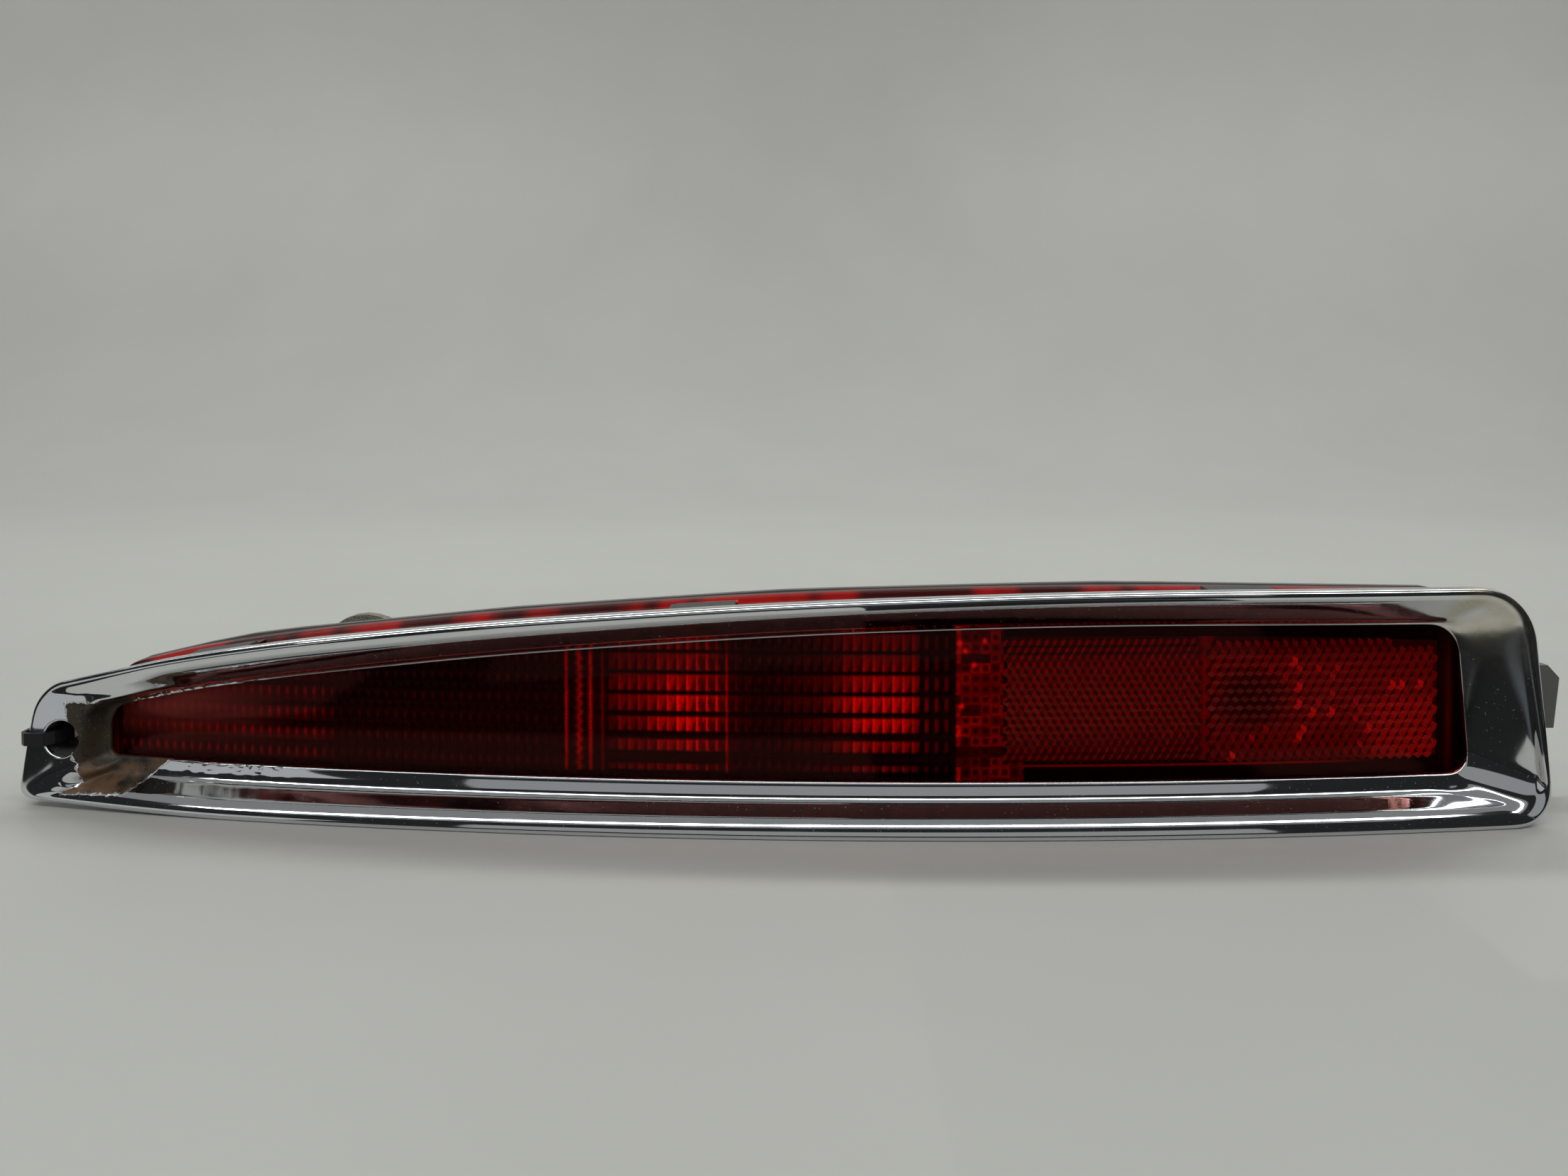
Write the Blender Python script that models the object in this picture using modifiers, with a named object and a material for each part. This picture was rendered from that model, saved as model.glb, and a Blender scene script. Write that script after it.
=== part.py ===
"""Slim fender-tip tail lamp: chrome-plated bezel, deep red lens, grey housing, three twist-in bulb sockets.

The lamp stands on its long lower edge. +X runs to the wide end, -Y is the front, +Z is up. Shapes are
written in millimetres and become metres where a mesh or a location is made.
"""

import math

import bmesh
import bpy
from mathutils import Matrix, Vector

MM = 0.001
GAP = 0.3

# The bezel's crest bends back from its foremost place towards both ends, on one large radius, and the whole
# front leans back as it rises.
CREST_RADIUS = 1750
CREST_APEX = 62
LEAN = 0.15

# Outlines seen from the front, as corners (x, z, radius): lower nose, upper nose, four along the top, upper
# and lower corner of the wide end. The bottom edge closes each one.
RIM = [
    (-292.5, 0, 5), (-284.5, 44.8, 16), (-210, 63, 320), (-103, 75.2, 520), (0, 82.9, 700), (114, 86.8, 900),
    (269.8, 86.4, 22), (280.8, 0, 13),
]
CREASE = [
    (-279.7, 6.2, 6), (-271, 42.5, 12), (-209.6, 57, 320), (-104.7, 69.3, 520), (0, 77.8, 700), (111.4, 81.9, 900),
    (264.9, 81.4, 17), (276.4, 7.2, 10),
]
LIP = [
    (-260.3, 16.7, 3), (-260.1, 35.9, 9), (-208.7, 47.4, 300), (-105.3, 60.4, 500), (0, 68.9, 700),
    (107.8, 72.5, 900), (248.5, 71.3, 12), (254, 16.6, 7),
]
LENS_SIDE = [
    (-260.3, 2.8, 5), (-261.6, 47, 8), (-209.6, 59.8, 300), (-102.7, 72.1, 500), (0, 79.9, 700),
    (120, 83, 900), (266.5, 79.2, 24), (277.3, 2.8, 12),
]
BACK = [
    (-242, 0, 6), (-237, 45.5, 9), (-195, 55.5, 200), (-100, 64, 400), (0, 71.5, 600), (105, 75.5, 800),
    (250, 75.5, 14), (258, 0, 8),
]
# The nose's lower corner rises off the ground line, by this much for each millimetre past the start
NOSE_LIFT_FROM = -205
NOSE_LIFT_RATE = 0.038
NOSE_LIFT_HEIGHT = 40

# Depths behind the crest
SKIRT_DEPTH = 8
CREASE_DEPTH = 2.7
LIP_DEPTH = 12.8
LENS_EDGE_DEPTH = 14.9
LENS_CROWN = 2.2
LENS_WALL = 3
BEAD_DEPTH = 24
LENS_FOOT_DEPTH = 32
SEAL_THICKNESS = 1.4
FLANGE_DEPTH = LENS_FOOT_DEPTH + SEAL_THICKNESS + 2 * GAP
FLANGE_THICKNESS = 3
REFLECTOR_DEPTH = 21.5

BACK_Y = 82
HOUSING_WALL = 2.5

NOSE_HOLE = (-274.1, 26.1)
NOSE_HOLE_RADIUS = 6.6
NOSE_THROUGH_RADIUS = 4
NOSE_SEAT_DEPTH = 13.5
NOSE_BOSS_RADIUS = 8.7
NOSE_BOSS_DEPTH = 17
NOSE_PAD_MIDDLE = 6.2
NOSE_PAD_SLOPE = 0.4

CLIP_X = (-212, -28.6, 164)
CLIP_WIDTH = 24
CLIP_THICKNESS = 1.2

REFLEX = (79.5, 240, 22.4, 65.8)
REFLEX_THICKNESS = 2.2

LARGE = dict(neck=14.5, body=13, collar=19.5, inside=9, glass=12.7, tip=49, lug=17, opening=20)
SMALL = dict(neck=9.5, body=9.5, collar=14, inside=16, glass=5, tip=36, lug=12, opening=15)
CHAMBERS = {
    "upper": dict(place=(-208, 30), size=SMALL, left=-246, right=-79.5, bottom=9.5, top=(36.4, 63.8)),
    "stop": dict(place=(-39, 40), size=LARGE, left=-76, right=-2.4, bottom=8.5, top=(66.7, 72.7)),
    "turn": dict(place=(38, 42), size=LARGE, left=2.4, right=74, bottom=8.5, top=(73.7, 75.7)),
}
COLLAR_BACK = 5.3
COLLAR_FRONT = 2.3
SOCKET_BACK = 20
SHROUD_BACK = 32
NOTCH_ANGLE = math.radians(45)

GUARD_GAP = 1.2
GUARD_THICKNESS = 1.8
GUARD_HEIGHT = 3.2
RIB_HEIGHT = 2.6
RIB_THICKNESS = 1.8
CROSS_RIBS = ((-118, 8, 59), (-78, 8, 63), (78, 8, 71), (152, 8, 72), (196, 8, 72))
LONG_RIBS = ((-118, -78, 34), (78, 97, 34), (152, 196, 34))

STUDS = [(-172, 45.3), (0, 21.8), (120, 54), (228, 24)]
STUD_RADIUS = 3
STUD_LENGTH = 24
STUD_FLANGE = (8, 2.5)
STUD_SEAL = (8.6, 20, 5)
VENT = (175, 55)

LOCATOR = dict(x=(262, 302.9), y=(54.9, 59.3), z=(25.3, 50.6), chamfer=5)

TIE_WIDTH = 4.8
TIE_THICKNESS = 1.2

# The finished lamp's origin is the centre of its base.
ORIGIN = (5.72, 57.1, 0)


# ---------------------------------------------------------------------------------------------- helpers
def start():
    for obj in list(bpy.data.objects):
        bpy.data.objects.remove(obj)
    groups = []
    for name in ("trailer_tail_light", "cutters"):
        group = bpy.data.collections.new(name)
        bpy.context.scene.collection.children.link(group)
        groups.append(group)
    return groups


PARTS, CUTTERS = start()
FRAME = bpy.data.objects.new("lamp_frame", None)
FRAME.location = -Vector(ORIGIN) * MM
PARTS.objects.link(FRAME)


def material(name, colour, roughness, metallic=0.0, transmission=0.0):
    made = bpy.data.materials.new(name)
    made.use_nodes = True
    shader = made.node_tree.nodes["Principled BSDF"]
    shader.inputs["Base Color"].default_value = (*colour, 1)
    shader.inputs["Roughness"].default_value = roughness
    shader.inputs["Metallic"].default_value = metallic
    shader.inputs["Transmission Weight"].default_value = transmission
    made.diffuse_color = (*colour, 1)
    return made


FINISH = {
    "chrome": material("chrome_plating", (0.62, 0.63, 0.65), 0.12, 1),
    "lens": material("red_acrylic", (0.35, 0.01, 0.02), 0.1, 0, 0.6),
    "reflex": material("red_reflex_acrylic", (0.3, 0.01, 0.02), 0.15, 0, 0.4),
    "housing": material("grey_abs", (0.3, 0.3, 0.29), 0.55),
    "mirror": material("aluminised_plastic", (0.85, 0.85, 0.86), 0.08, 1),
    "sealant": material("butyl_sealant", (0.05, 0.05, 0.05), 0.7),
    "socket": material("black_nylon", (0.02, 0.02, 0.02), 0.5),
    "rubber": material("socket_rubber", (0.03, 0.03, 0.035), 0.8),
    "foam": material("olive_foam", (0.16, 0.16, 0.13), 0.95),
    "glass": material("bulb_glass", (0.95, 0.95, 0.95), 0.02, 0, 1),
    "base": material("bulb_base_plastic", (0.6, 0.6, 0.58), 0.5),
    "brass": material("terminal_brass", (0.7, 0.5, 0.2), 0.3, 1),
    "tungsten": material("filament_wire", (0.35, 0.35, 0.36), 0.4, 1),
    "steel": material("zinc_plated_steel", (0.55, 0.55, 0.5), 0.35, 1),
    "tie": material("black_tie_nylon", (0.015, 0.015, 0.015), 0.4),
}


def place(obj, finish, parent=FRAME):
    obj.data.materials.clear()
    obj.data.materials.append(FINISH[finish])
    obj.parent = parent
    PARTS.objects.link(obj)
    return obj


def from_bmesh(name, bm, sharp=math.radians(35)):
    """A metre-scale object from a bmesh that was built in millimetres."""
    bmesh.ops.scale(bm, vec=(MM, MM, MM), verts=bm.verts)
    bmesh.ops.triangulate(bm, faces=[f for f in bm.faces if len(f.verts) > 4])
    bmesh.ops.recalc_face_normals(bm, faces=bm.faces)
    mesh = bpy.data.meshes.new(name)
    bm.to_mesh(mesh)
    bm.free()
    mesh.shade_smooth()
    mesh.set_sharp_from_angle(angle=sharp)
    return bpy.data.objects.new(name, mesh)


def box(name, x, y, z, slope=0.0):
    """A block between two values on each axis, in millimetres. With a slope, it rises along X about its
    middle."""
    bm = bmesh.new()
    size = [high - low for low, high in (x, y, z)]
    centre = [(high + low) / 2 for low, high in (x, y, z)]
    bmesh.ops.create_cube(bm, matrix=Matrix.Translation(centre) @ Matrix.Diagonal((*size, 1)))
    for vert in bm.verts:
        vert.co.z += slope * (vert.co.x - centre[0])
    return from_bmesh(name, bm)


def rod(name, x, z, radius, y, steps=24):
    """A cylinder along Y between two depths, in millimetres."""
    bm = bmesh.new()
    turn = Matrix.Rotation(math.pi / 2, 4, "X")
    middle = Matrix.Translation((x, (y[0] + y[1]) / 2, z))
    bmesh.ops.create_cone(
        bm, cap_ends=True, segments=steps, radius1=radius, radius2=radius, depth=y[1] - y[0],
        matrix=middle @ turn,
    )
    return from_bmesh(name, bm)


def combine(obj, operation, tools):
    """Joins or cuts obj with each tool, and leaves the tools among the cutters."""
    for tool in tools:
        CUTTERS.objects.link(tool)
        tool.hide_render = True
        tool.display_type = "WIRE"
        tool.parent = obj.parent
        step = obj.modifiers.new(tool.name, "BOOLEAN")
        step.operation = operation
        step.solver = "EXACT"
        step.object = tool


def turned(name, profile, steps=24):
    """A profile of (radius, rearward distance) turned about the axis that runs to the rear of the lamp."""
    bm = bmesh.new()
    verts = [bm.verts.new((radius * MM, 0, height * MM)) for radius, height in profile]
    edges = list(zip(verts, verts[1:]))
    if profile[0][0] > 0:
        edges.append((verts[-1], verts[0]))
    for pair in edges:
        bm.edges.new(pair)
    mesh = bpy.data.meshes.new(name)
    bm.to_mesh(mesh)
    bm.free()
    obj = bpy.data.objects.new(name, mesh)
    screw = obj.modifiers.new("turn", "SCREW")
    screw.axis = "Z"
    screw.steps = screw.render_steps = steps
    screw.use_merge_vertices = True
    screw.merge_threshold = 0.00005
    screw.use_smooth_shade = True
    obj.rotation_euler.x = -math.pi / 2
    return obj


# --------------------------------------------------------------------------------------------- outlines
def crest(x, z):
    """How far back the front of the bezel stands."""
    return (x - CREST_APEX) ** 2 / (2 * CREST_RADIUS) + LEAN * z


def inset_corners(corners, inset):
    """The corners of the outline moved inwards by inset, with radii to match."""
    count = len(corners)
    points = [Vector(c[:2]) for c in corners]
    lines = []
    for i in range(count):
        a, b = points[i], points[(i + 1) % count]
        along = (b - a).normalized()
        inward = Vector((along.y, -along.x))
        lines.append((a + inward * inset, along))
    moved = []
    for i in range(count):
        (p, u), (q, v) = lines[i - 1], lines[i]
        reach = (q - p).cross(v) / u.cross(v)
        moved.append((*(p + u * reach), max(corners[i][2] - inset, 1.2)))
    return moved


def fillet(before, corner, after, count):
    """Points on the arc that rounds one corner."""
    tip = Vector(corner[:2])
    back = (Vector(before[:2]) - tip).normalized()
    forth = (Vector(after[:2]) - tip).normalized()
    half = back.angle(forth) / 2
    reach = corner[2] / math.tan(half)
    reach = min(reach, 0.48 * (Vector(before[:2]) - tip).length, 0.48 * (Vector(after[:2]) - tip).length)
    radius = reach * math.tan(half)
    centre = tip + (back + forth).normalized() * radius / math.sin(half)
    first, last = tip + back * reach - centre, tip + forth * reach - centre
    sweep = first.angle_signed(last)
    points = []
    for k in range(count):
        turn = -sweep * k / (count - 1)
        points.append(centre + Matrix.Rotation(turn, 2) @ first)
    return points


def outline(corners, inset=0.0, round_points=5, shallow_points=3):
    """A closed outline: its top row from the nose to the wide end, then its bottom row back."""
    shape = inset_corners(corners, inset)
    count = len(shape)

    def arc(i, points):
        return fillet(shape[i - 1], shape[i], shape[(i + 1) % count], points)

    along = [p for i in range(2, count - 2) for p in arc(i, shallow_points)]
    top = arc(1, round_points) + along + arc(count - 2, round_points)
    nose, heel = arc(0, round_points)[::-1], arc(count - 1, round_points)[::-1]
    start_x, end_x = nose[-1].x, heel[0].x
    spread = [(p.x - along[0].x) / (along[-1].x - along[0].x) for p in along]
    margin = (end_x - start_x) / (len(along) + 1)
    low_x = [start_x + margin + s * (end_x - start_x - 2 * margin) for s in spread]
    level = nose[-1].y
    bottom = nose + [Vector((x, level + (heel[0].y - level) * (x - start_x) / (end_x - start_x))) for x in low_x]
    return top + (bottom + heel)[::-1]


def blend(first, second, share):
    return [a.lerp(b, share) for a, b in zip(first, second)]


def lift(x, z):
    """How far the nose's lower corner rises off the ground line."""
    return max(0.0, NOSE_LIFT_FROM - x) * NOSE_LIFT_RATE * max(0.0, 1 - z / NOSE_LIFT_HEIGHT)


def behind_crest(points, depth):
    return [Vector((p.x, crest(p.x, p.y) + depth, p.y + lift(p.x, p.y))) for p in points]


def at_depth(points, y):
    return [Vector((p.x, y, p.y)) for p in points]


def loft(bm, rings, closed=False):
    rows = [[bm.verts.new(p) for p in ring] for ring in rings]
    pairs = list(zip(rows, rows[1:]))
    if closed:
        pairs.append((rows[-1], rows[0]))
    for low, high in pairs:
        count = len(low)
        for i in range(count):
            j = (i + 1) % count
            bm.faces.new((low[i], low[j], high[j], high[i]))
    return rows


def crown(bm, ring, height, shares=(0.2, 0.5, 0.8)):
    """Fills a ring with a grid between its top and bottom rows, swollen forwards by height."""
    half = len(ring) // 2
    columns = []
    for i in range(half):
        top, low = ring[i], ring[-1 - i]
        inner = []
        if 0 < i < half - 1:
            swell = height * min(1, i / 4, (half - 1 - i) / 4)
            for s in shares:
                forward = Vector((0, -swell * 4 * s * (1 - s), 0))
                inner.append(bm.verts.new(top.co.lerp(low.co, s) + forward))
        columns.append([top, *inner, low])
    bm.faces.new(columns[0][::-1] + columns[1])
    bm.faces.new(columns[-1][::-1] + columns[-2])
    for left, right in zip(columns[1:-1], columns[2:-1]):
        for k in range(len(left) - 1):
            bm.faces.new((left[k], right[k], right[k + 1], left[k + 1]))


# ----------------------------------------------------------------------------------------------- bezel
def make_bezel():
    rim_in = outline(RIM, 1.2)
    crease, lip = outline(CREASE), outline(LIP)
    rings = [
        behind_crest(outline(RIM, 0.5), SKIRT_DEPTH),
        behind_crest(outline(RIM), 1.6),
        behind_crest(rim_in, 0),
        behind_crest(crease, CREASE_DEPTH),
        behind_crest(blend(crease, lip, 0.3), 7.6),
        behind_crest(blend(crease, lip, 0.65), 11),
        behind_crest(blend(crease, lip, 0.92), LIP_DEPTH - 0.8),
        behind_crest(lip, LIP_DEPTH),
        behind_crest(lip, LIP_DEPTH + 1.5),
        behind_crest(blend(crease, lip, 0.7), LIP_DEPTH + 1.2),
        behind_crest(blend(crease, lip, 0.25), 9.4),
        behind_crest(blend(crease, rim_in, 0.15), 4.9),
        behind_crest(outline(RIM, 2.2), 3),
        behind_crest(outline(RIM, 2.3), SKIRT_DEPTH),
    ]
    bm = bmesh.new()
    loft(bm, rings, closed=True)
    bezel = place(from_bmesh("bezel", bm), "chrome")
    x, z = NOSE_HOLE
    front = crest(x, z)
    boss = rod("bezel_boss", x, z, NOSE_BOSS_RADIUS, (front + NOSE_PAD_MIDDLE, front + NOSE_BOSS_DEPTH))
    for vert in boss.data.vertices:
        if vert.co.y < (front + NOSE_BOSS_DEPTH - 1) * MM:
            vert.co.y += NOSE_PAD_SLOPE * (vert.co.x - x * MM)
    combine(bezel, "UNION", [boss, *bezel_clips()])
    recess = rod("bezel_recess", x, z, NOSE_HOLE_RADIUS, (front - 10, front + NOSE_SEAT_DEPTH))
    through = rod("bezel_through_hole", x, z, NOSE_THROUGH_RADIUS, (front + 5, front + 30))
    combine(bezel, "DIFFERENCE", [recess, through])


def top_edge(corners, span):
    """Height and slope of an outline's top edge between two values of x."""
    row = outline(corners)
    row = row[: len(row) // 2]
    heights = []
    for x in span:
        for a, b in zip(row, row[1:]):
            if a.x <= x <= b.x:
                heights.append(a.lerp(b, (x - a.x) / (b.x - a.x)).y)
                break
    return sum(heights) / 2, (heights[1] - heights[0]) / (span[1] - span[0])


def bezel_clips():
    """Snap tongues that reach back from the skirt over the lens."""
    clips = []
    for i, x in enumerate(CLIP_X, 1):
        span = (x - CLIP_WIDTH / 2, x + CLIP_WIDTH / 2)
        rim_top, slope = top_edge(RIM, span)
        for edge, low, rise in (("top", rim_top - 2.2, slope), ("low", 0.8, 0)):
            depth = (crest(x, low) + 5, crest(x, low) + 16.4)
            clips.append(box(f"bezel_clip_{edge}_{i}", span, depth, (low, low + CLIP_THICKNESS), rise))
    return clips


# ------------------------------------------------------------------------------------------------ lens
def make_lens():
    bead, wall = outline(LENS_SIDE, -2), outline(LENS_SIDE)
    bm = bmesh.new()
    outer = loft(bm, [
        behind_crest(bead, LENS_FOOT_DEPTH),
        behind_crest(bead, BEAD_DEPTH + 1),
        behind_crest(wall, BEAD_DEPTH - 1),
        behind_crest(wall, LENS_EDGE_DEPTH + 2),
        behind_crest(outline(LENS_SIDE, 1.5), LENS_EDGE_DEPTH + 0.3),
        behind_crest(outline(LIP, -0.5), LENS_EDGE_DEPTH),
    ])
    inner = loft(bm, [
        behind_crest(outline(LENS_SIDE, LENS_WALL), LENS_FOOT_DEPTH),
        behind_crest(outline(LENS_SIDE, LENS_WALL), LENS_EDGE_DEPTH + LENS_WALL + 0.6),
        behind_crest(outline(LIP, 0.5), LENS_EDGE_DEPTH + LENS_WALL),
    ])
    crown(bm, outer[-1], LENS_CROWN)
    crown(bm, inner[-1], LENS_CROWN)
    count = len(outer[0])
    for i in range(count):
        j = (i + 1) % count
        bm.faces.new((outer[0][i], outer[0][j], inner[0][j], inner[0][i]))
    lens = place(from_bmesh("lens", bm), "lens")
    combine(lens, "UNION", lens_catches())


def lens_catches():
    """Raised blocks on the lens wall that the bezel's tongues snap against."""
    blocks = []
    for i, x in enumerate(CLIP_X, 1):
        span = (x - CLIP_WIDTH / 2, x + CLIP_WIDTH / 2)
        wall_top, slope = top_edge(LENS_SIDE, span)
        for edge, low, high, rise in (("top", wall_top - 2, wall_top + 1.7, slope), ("low", 1.4, 5, 0)):
            depth = (crest(x, low) + 17, crest(x, low) + BEAD_DEPTH + 2)
            blocks.append(box(f"lens_catch_{edge}_{i}", span, depth, (low, high), rise))
    return blocks


def make_lens_seal():
    front, back = LENS_FOOT_DEPTH + GAP, LENS_FOOT_DEPTH + GAP + SEAL_THICKNESS
    wide, narrow = outline(LENS_SIDE, -1), outline(LENS_SIDE, 2.4)
    bm = bmesh.new()
    loft(bm, [
        behind_crest(wide, front), behind_crest(wide, back), behind_crest(narrow, back),
        behind_crest(narrow, front),
    ], closed=True)
    place(from_bmesh("lens_seal", bm), "sealant")


def make_reflex():
    left, right, bottom, top = REFLEX
    front = LENS_EDGE_DEPTH + LENS_WALL + GAP + 0.2
    columns, rows = 12, 5
    bm = bmesh.new()
    grid = []
    for i in range(columns + 1):
        x = left + (right - left) * i / columns
        column = []
        for k in range(rows + 1):
            z = bottom + (top - bottom) * k / rows
            column.append(bm.verts.new((x, crest(x, z) + front, z)))
        grid.append(column)
    for a, b in zip(grid, grid[1:]):
        for k in range(rows):
            bm.faces.new((a[k], b[k], b[k + 1], a[k + 1]))
    plate = place(from_bmesh("reflex_reflector", bm), "reflex")
    thick = plate.modifiers.new("thickness", "SOLIDIFY")
    thick.thickness = REFLEX_THICKNESS * MM
    thick.offset = 1 if plate.data.polygons[0].normal.y > 0 else -1


# --------------------------------------------------------------------------------------------- housing
def make_housing():
    flange = outline(LENS_SIDE, -2)
    start_out, start_in = outline(LENS_SIDE, 1.5), outline(LENS_SIDE, 4)
    back_depth = FLANGE_DEPTH + FLANGE_THICKNESS
    bm = bmesh.new()
    rows = loft(bm, [
        at_depth(outline(BACK, 6), BACK_Y - HOUSING_WALL),
        at_depth(outline(BACK, HOUSING_WALL), BACK_Y - 5),
        behind_crest(start_in, back_depth),
        behind_crest(start_in, FLANGE_DEPTH),
        behind_crest(flange, FLANGE_DEPTH),
        behind_crest(flange, back_depth),
        behind_crest(start_out, back_depth + 0.5),
        at_depth(outline(BACK), BACK_Y - 4),
        at_depth(outline(BACK, 3.5), BACK_Y),
    ])
    bm.faces.new(rows[0])
    bm.faces.new(rows[-1][::-1])
    housing = place(from_bmesh("housing", bm), "housing")
    combine(housing, "UNION", [make_locator(), *socket_guards(), *rear_ribs()])
    cuts = []
    for name, chamber in CHAMBERS.items():
        x, z = chamber["place"]
        size = chamber["size"]
        span = (BACK_Y - HOUSING_WALL - 2, BACK_Y + 2)
        cuts.append(rod(f"{name}_socket_hole", x, z, size["neck"] + 0.4, span, 32))
        notch = box(f"{name}_lug_notch", (-size["lug"] - 0.5, size["lug"] + 0.5), span, (-4, 4))
        notch.rotation_euler.y = NOTCH_ANGLE
        notch.location = Vector((x, 0, z)) * MM
        cuts.append(notch)
    cuts.append(rod("vent_hole", *VENT, 3.3, (BACK_Y - 6, BACK_Y + 2), 16))
    combine(housing, "DIFFERENCE", cuts)


def socket_guards():
    """A low wall round each socket's gasket."""
    guards = []
    for name, chamber in CHAMBERS.items():
        inner = chamber["size"]["collar"] + GUARD_GAP
        outer = inner + GUARD_THICKNESS
        foot = -0.5
        ring = turned(f"{name}_guard", [
            (outer, GUARD_HEIGHT), (outer, foot), (inner, foot), (inner, GUARD_HEIGHT)
        ], 32)
        x, z = chamber["place"]
        ring.location = Vector((x, BACK_Y, z)) * MM
        guards.append(ring)
    return guards


def rear_ribs():
    """Stiffening ribs on the rear wall: upright ones, and short ones that join them in pairs."""
    half = RIB_THICKNESS / 2
    depth = (BACK_Y - 0.5, BACK_Y + RIB_HEIGHT)
    ribs = []
    for i, (x, low, high) in enumerate(CROSS_RIBS, 1):
        ribs.append(box(f"cross_rib_{i}", (x - half, x + half), depth, (low, high)))
    for i, (left, right, z) in enumerate(LONG_RIBS, 1):
        ribs.append(box(f"long_rib_{i}", (left, right), (depth[0], depth[1] - 0.4), (z - half, z + half)))
    return ribs


def make_locator():
    """Tongue at the wide end that plugs into the body panel, with one chamfered corner."""
    (left, right), (low, high), chamfer = LOCATOR["x"], LOCATOR["z"], LOCATOR["chamfer"]
    front, back = LOCATOR["y"]
    bm = bmesh.new()
    shape = [(left, low), (right, low), (right, high - chamfer), (right - chamfer, high), (left, high)]
    face = bm.faces.new([bm.verts.new((x, front, z)) for x, z in shape])
    grown = bmesh.ops.extrude_face_region(bm, geom=[face])
    moved = [v for v in grown["geom"] if isinstance(v, bmesh.types.BMVert)]
    bmesh.ops.translate(bm, vec=(0, back - front, 0), verts=moved)
    return from_bmesh("locator", bm)


# ------------------------------------------------------------------------------------------ reflectors
def ring_on_quad(corners, per_side):
    points = []
    for a, b in zip(corners, corners[1:] + corners[:1]):
        for k in range(per_side):
            points.append(Vector(a).lerp(Vector(b), k / per_side))
    return points


def make_reflector(name, chamber, per_side=6, steps=5):
    """An aluminised bowl: round at the socket, four-sided at the lens."""
    centre = Vector(chamber["place"])
    left, right = chamber["left"], chamber["right"]
    top_left, top_right = chamber["top"]
    quad = [(left, chamber["bottom"]), (left, top_left), (right, top_right), (right, chamber["bottom"])]
    mouth = ring_on_quad(quad, per_side)
    throat = [centre + (p - centre).normalized() * chamber["size"]["opening"] for p in mouth]
    deep = BACK_Y - HOUSING_WALL - 2
    bm = bmesh.new()
    rings = []
    for k in range(steps + 1):
        share = k / steps
        widen = share ** 0.55
        ring = []
        for inner, outer in zip(throat, mouth):
            p = inner.lerp(outer, widen)
            y = deep + (crest(outer.x, outer.y) + REFLECTOR_DEPTH - deep) * share
            ring.append(Vector((p.x, y, p.y)))
        rings.append(ring)
    loft(bm, rings)
    bowl = place(from_bmesh(f"{name}_reflector", bm), "mirror")
    shell = bowl.modifiers.new("wall", "SOLIDIFY")
    shell.thickness = 1.4 * MM
    shell.offset = 1 if facing_out(bowl, centre) else -1


def facing_out(obj, centre):
    """True where the open bowl's faces look away from its axis."""
    face = obj.data.polygons[0]
    away = face.center - Vector((centre.x * MM, face.center.y, centre.y * MM))
    return face.normal.dot(away) > 0


# ------------------------------------------------------------------------------------ sockets and bulbs
def make_socket(name, chamber):
    """One twist-in bulb holder with its gasket, wedge bulb and two blade terminals, on its own axis."""
    size = chamber["size"]
    x, z = chamber["place"]
    axis = bpy.data.objects.new(f"{name}_socket_axis", None)
    axis.location = Vector((x, BACK_Y, z)) * MM
    axis.parent = FRAME
    PARTS.objects.link(axis)
    neck, body, collar, inside = size["neck"], size["body"], size["collar"], size["inside"]
    bore = neck - 3
    floor = -inside + 12

    socket = turned(f"{name}_socket", [
        (0, SOCKET_BACK), (body - 1, SOCKET_BACK), (body, SOCKET_BACK - 1), (body, COLLAR_BACK),
        (collar, COLLAR_BACK), (collar, COLLAR_FRONT), (neck, COLLAR_FRONT), (neck, -inside), (0, -inside),
    ], 28)
    place(socket, "socket", axis)
    half = body * 0.72
    shroud = box(f"{name}_shroud", (-half, half), (SOCKET_BACK - 1, SHROUD_BACK), (-half * 0.62, half * 0.62))
    wings = box(f"{name}_grip", (-collar + 2, collar - 2), (COLLAR_BACK - 1, SOCKET_BACK - 3), (-2, 2))
    lugs = box(f"{name}_lugs", (-size["lug"], size["lug"]), (-6.2, -3.1), (-3.4, 3.4))
    inlet = box(
        f"{name}_inlet", (-half + 1.6, half - 1.6), (SOCKET_BACK + 2, SHROUD_BACK + 2),
        (-half * 0.62 + 1.6, half * 0.62 - 1.6),
    )
    hollow = rod(f"{name}_bulb_bore", 0, 0, bore, (-inside - 2, floor), 28)
    combine(socket, "UNION", [shroud, wings, lugs])
    combine(socket, "DIFFERENCE", [inlet, hollow])
    for tool in (shroud, wings, lugs, inlet, hollow):
        tool.parent = axis

    seal = turned(f"{name}_socket_gasket", [
        (collar - 0.8, COLLAR_FRONT - GAP), (collar - 0.8, GAP), (neck + 0.8, GAP),
        (neck + 0.8, COLLAR_FRONT - GAP),
    ])
    place(seal, "rubber", axis)

    plug = bore - GAP
    plug_front = -inside - 2
    base = turned(f"{name}_bulb_base", [
        (0, floor - GAP), (plug, floor - GAP), (plug, plug_front), (0, plug_front),
    ], 20)
    place(base, "base", axis)
    make_glass(name, axis, size, plug_front - GAP)
    make_filament(name, axis, plug_front - 2 * GAP, size)

    for side, sign in (("left", -1), ("right", 1)):
        middle = sign * half * 0.42
        blade = box(
            f"{name}_terminal_{side}", (middle - 0.4, middle + 0.4), (SOCKET_BACK + 2 + GAP, SHROUD_BACK - 2),
            (-2.2, 2.2),
        )
        place(blade, "brass", axis)


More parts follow.
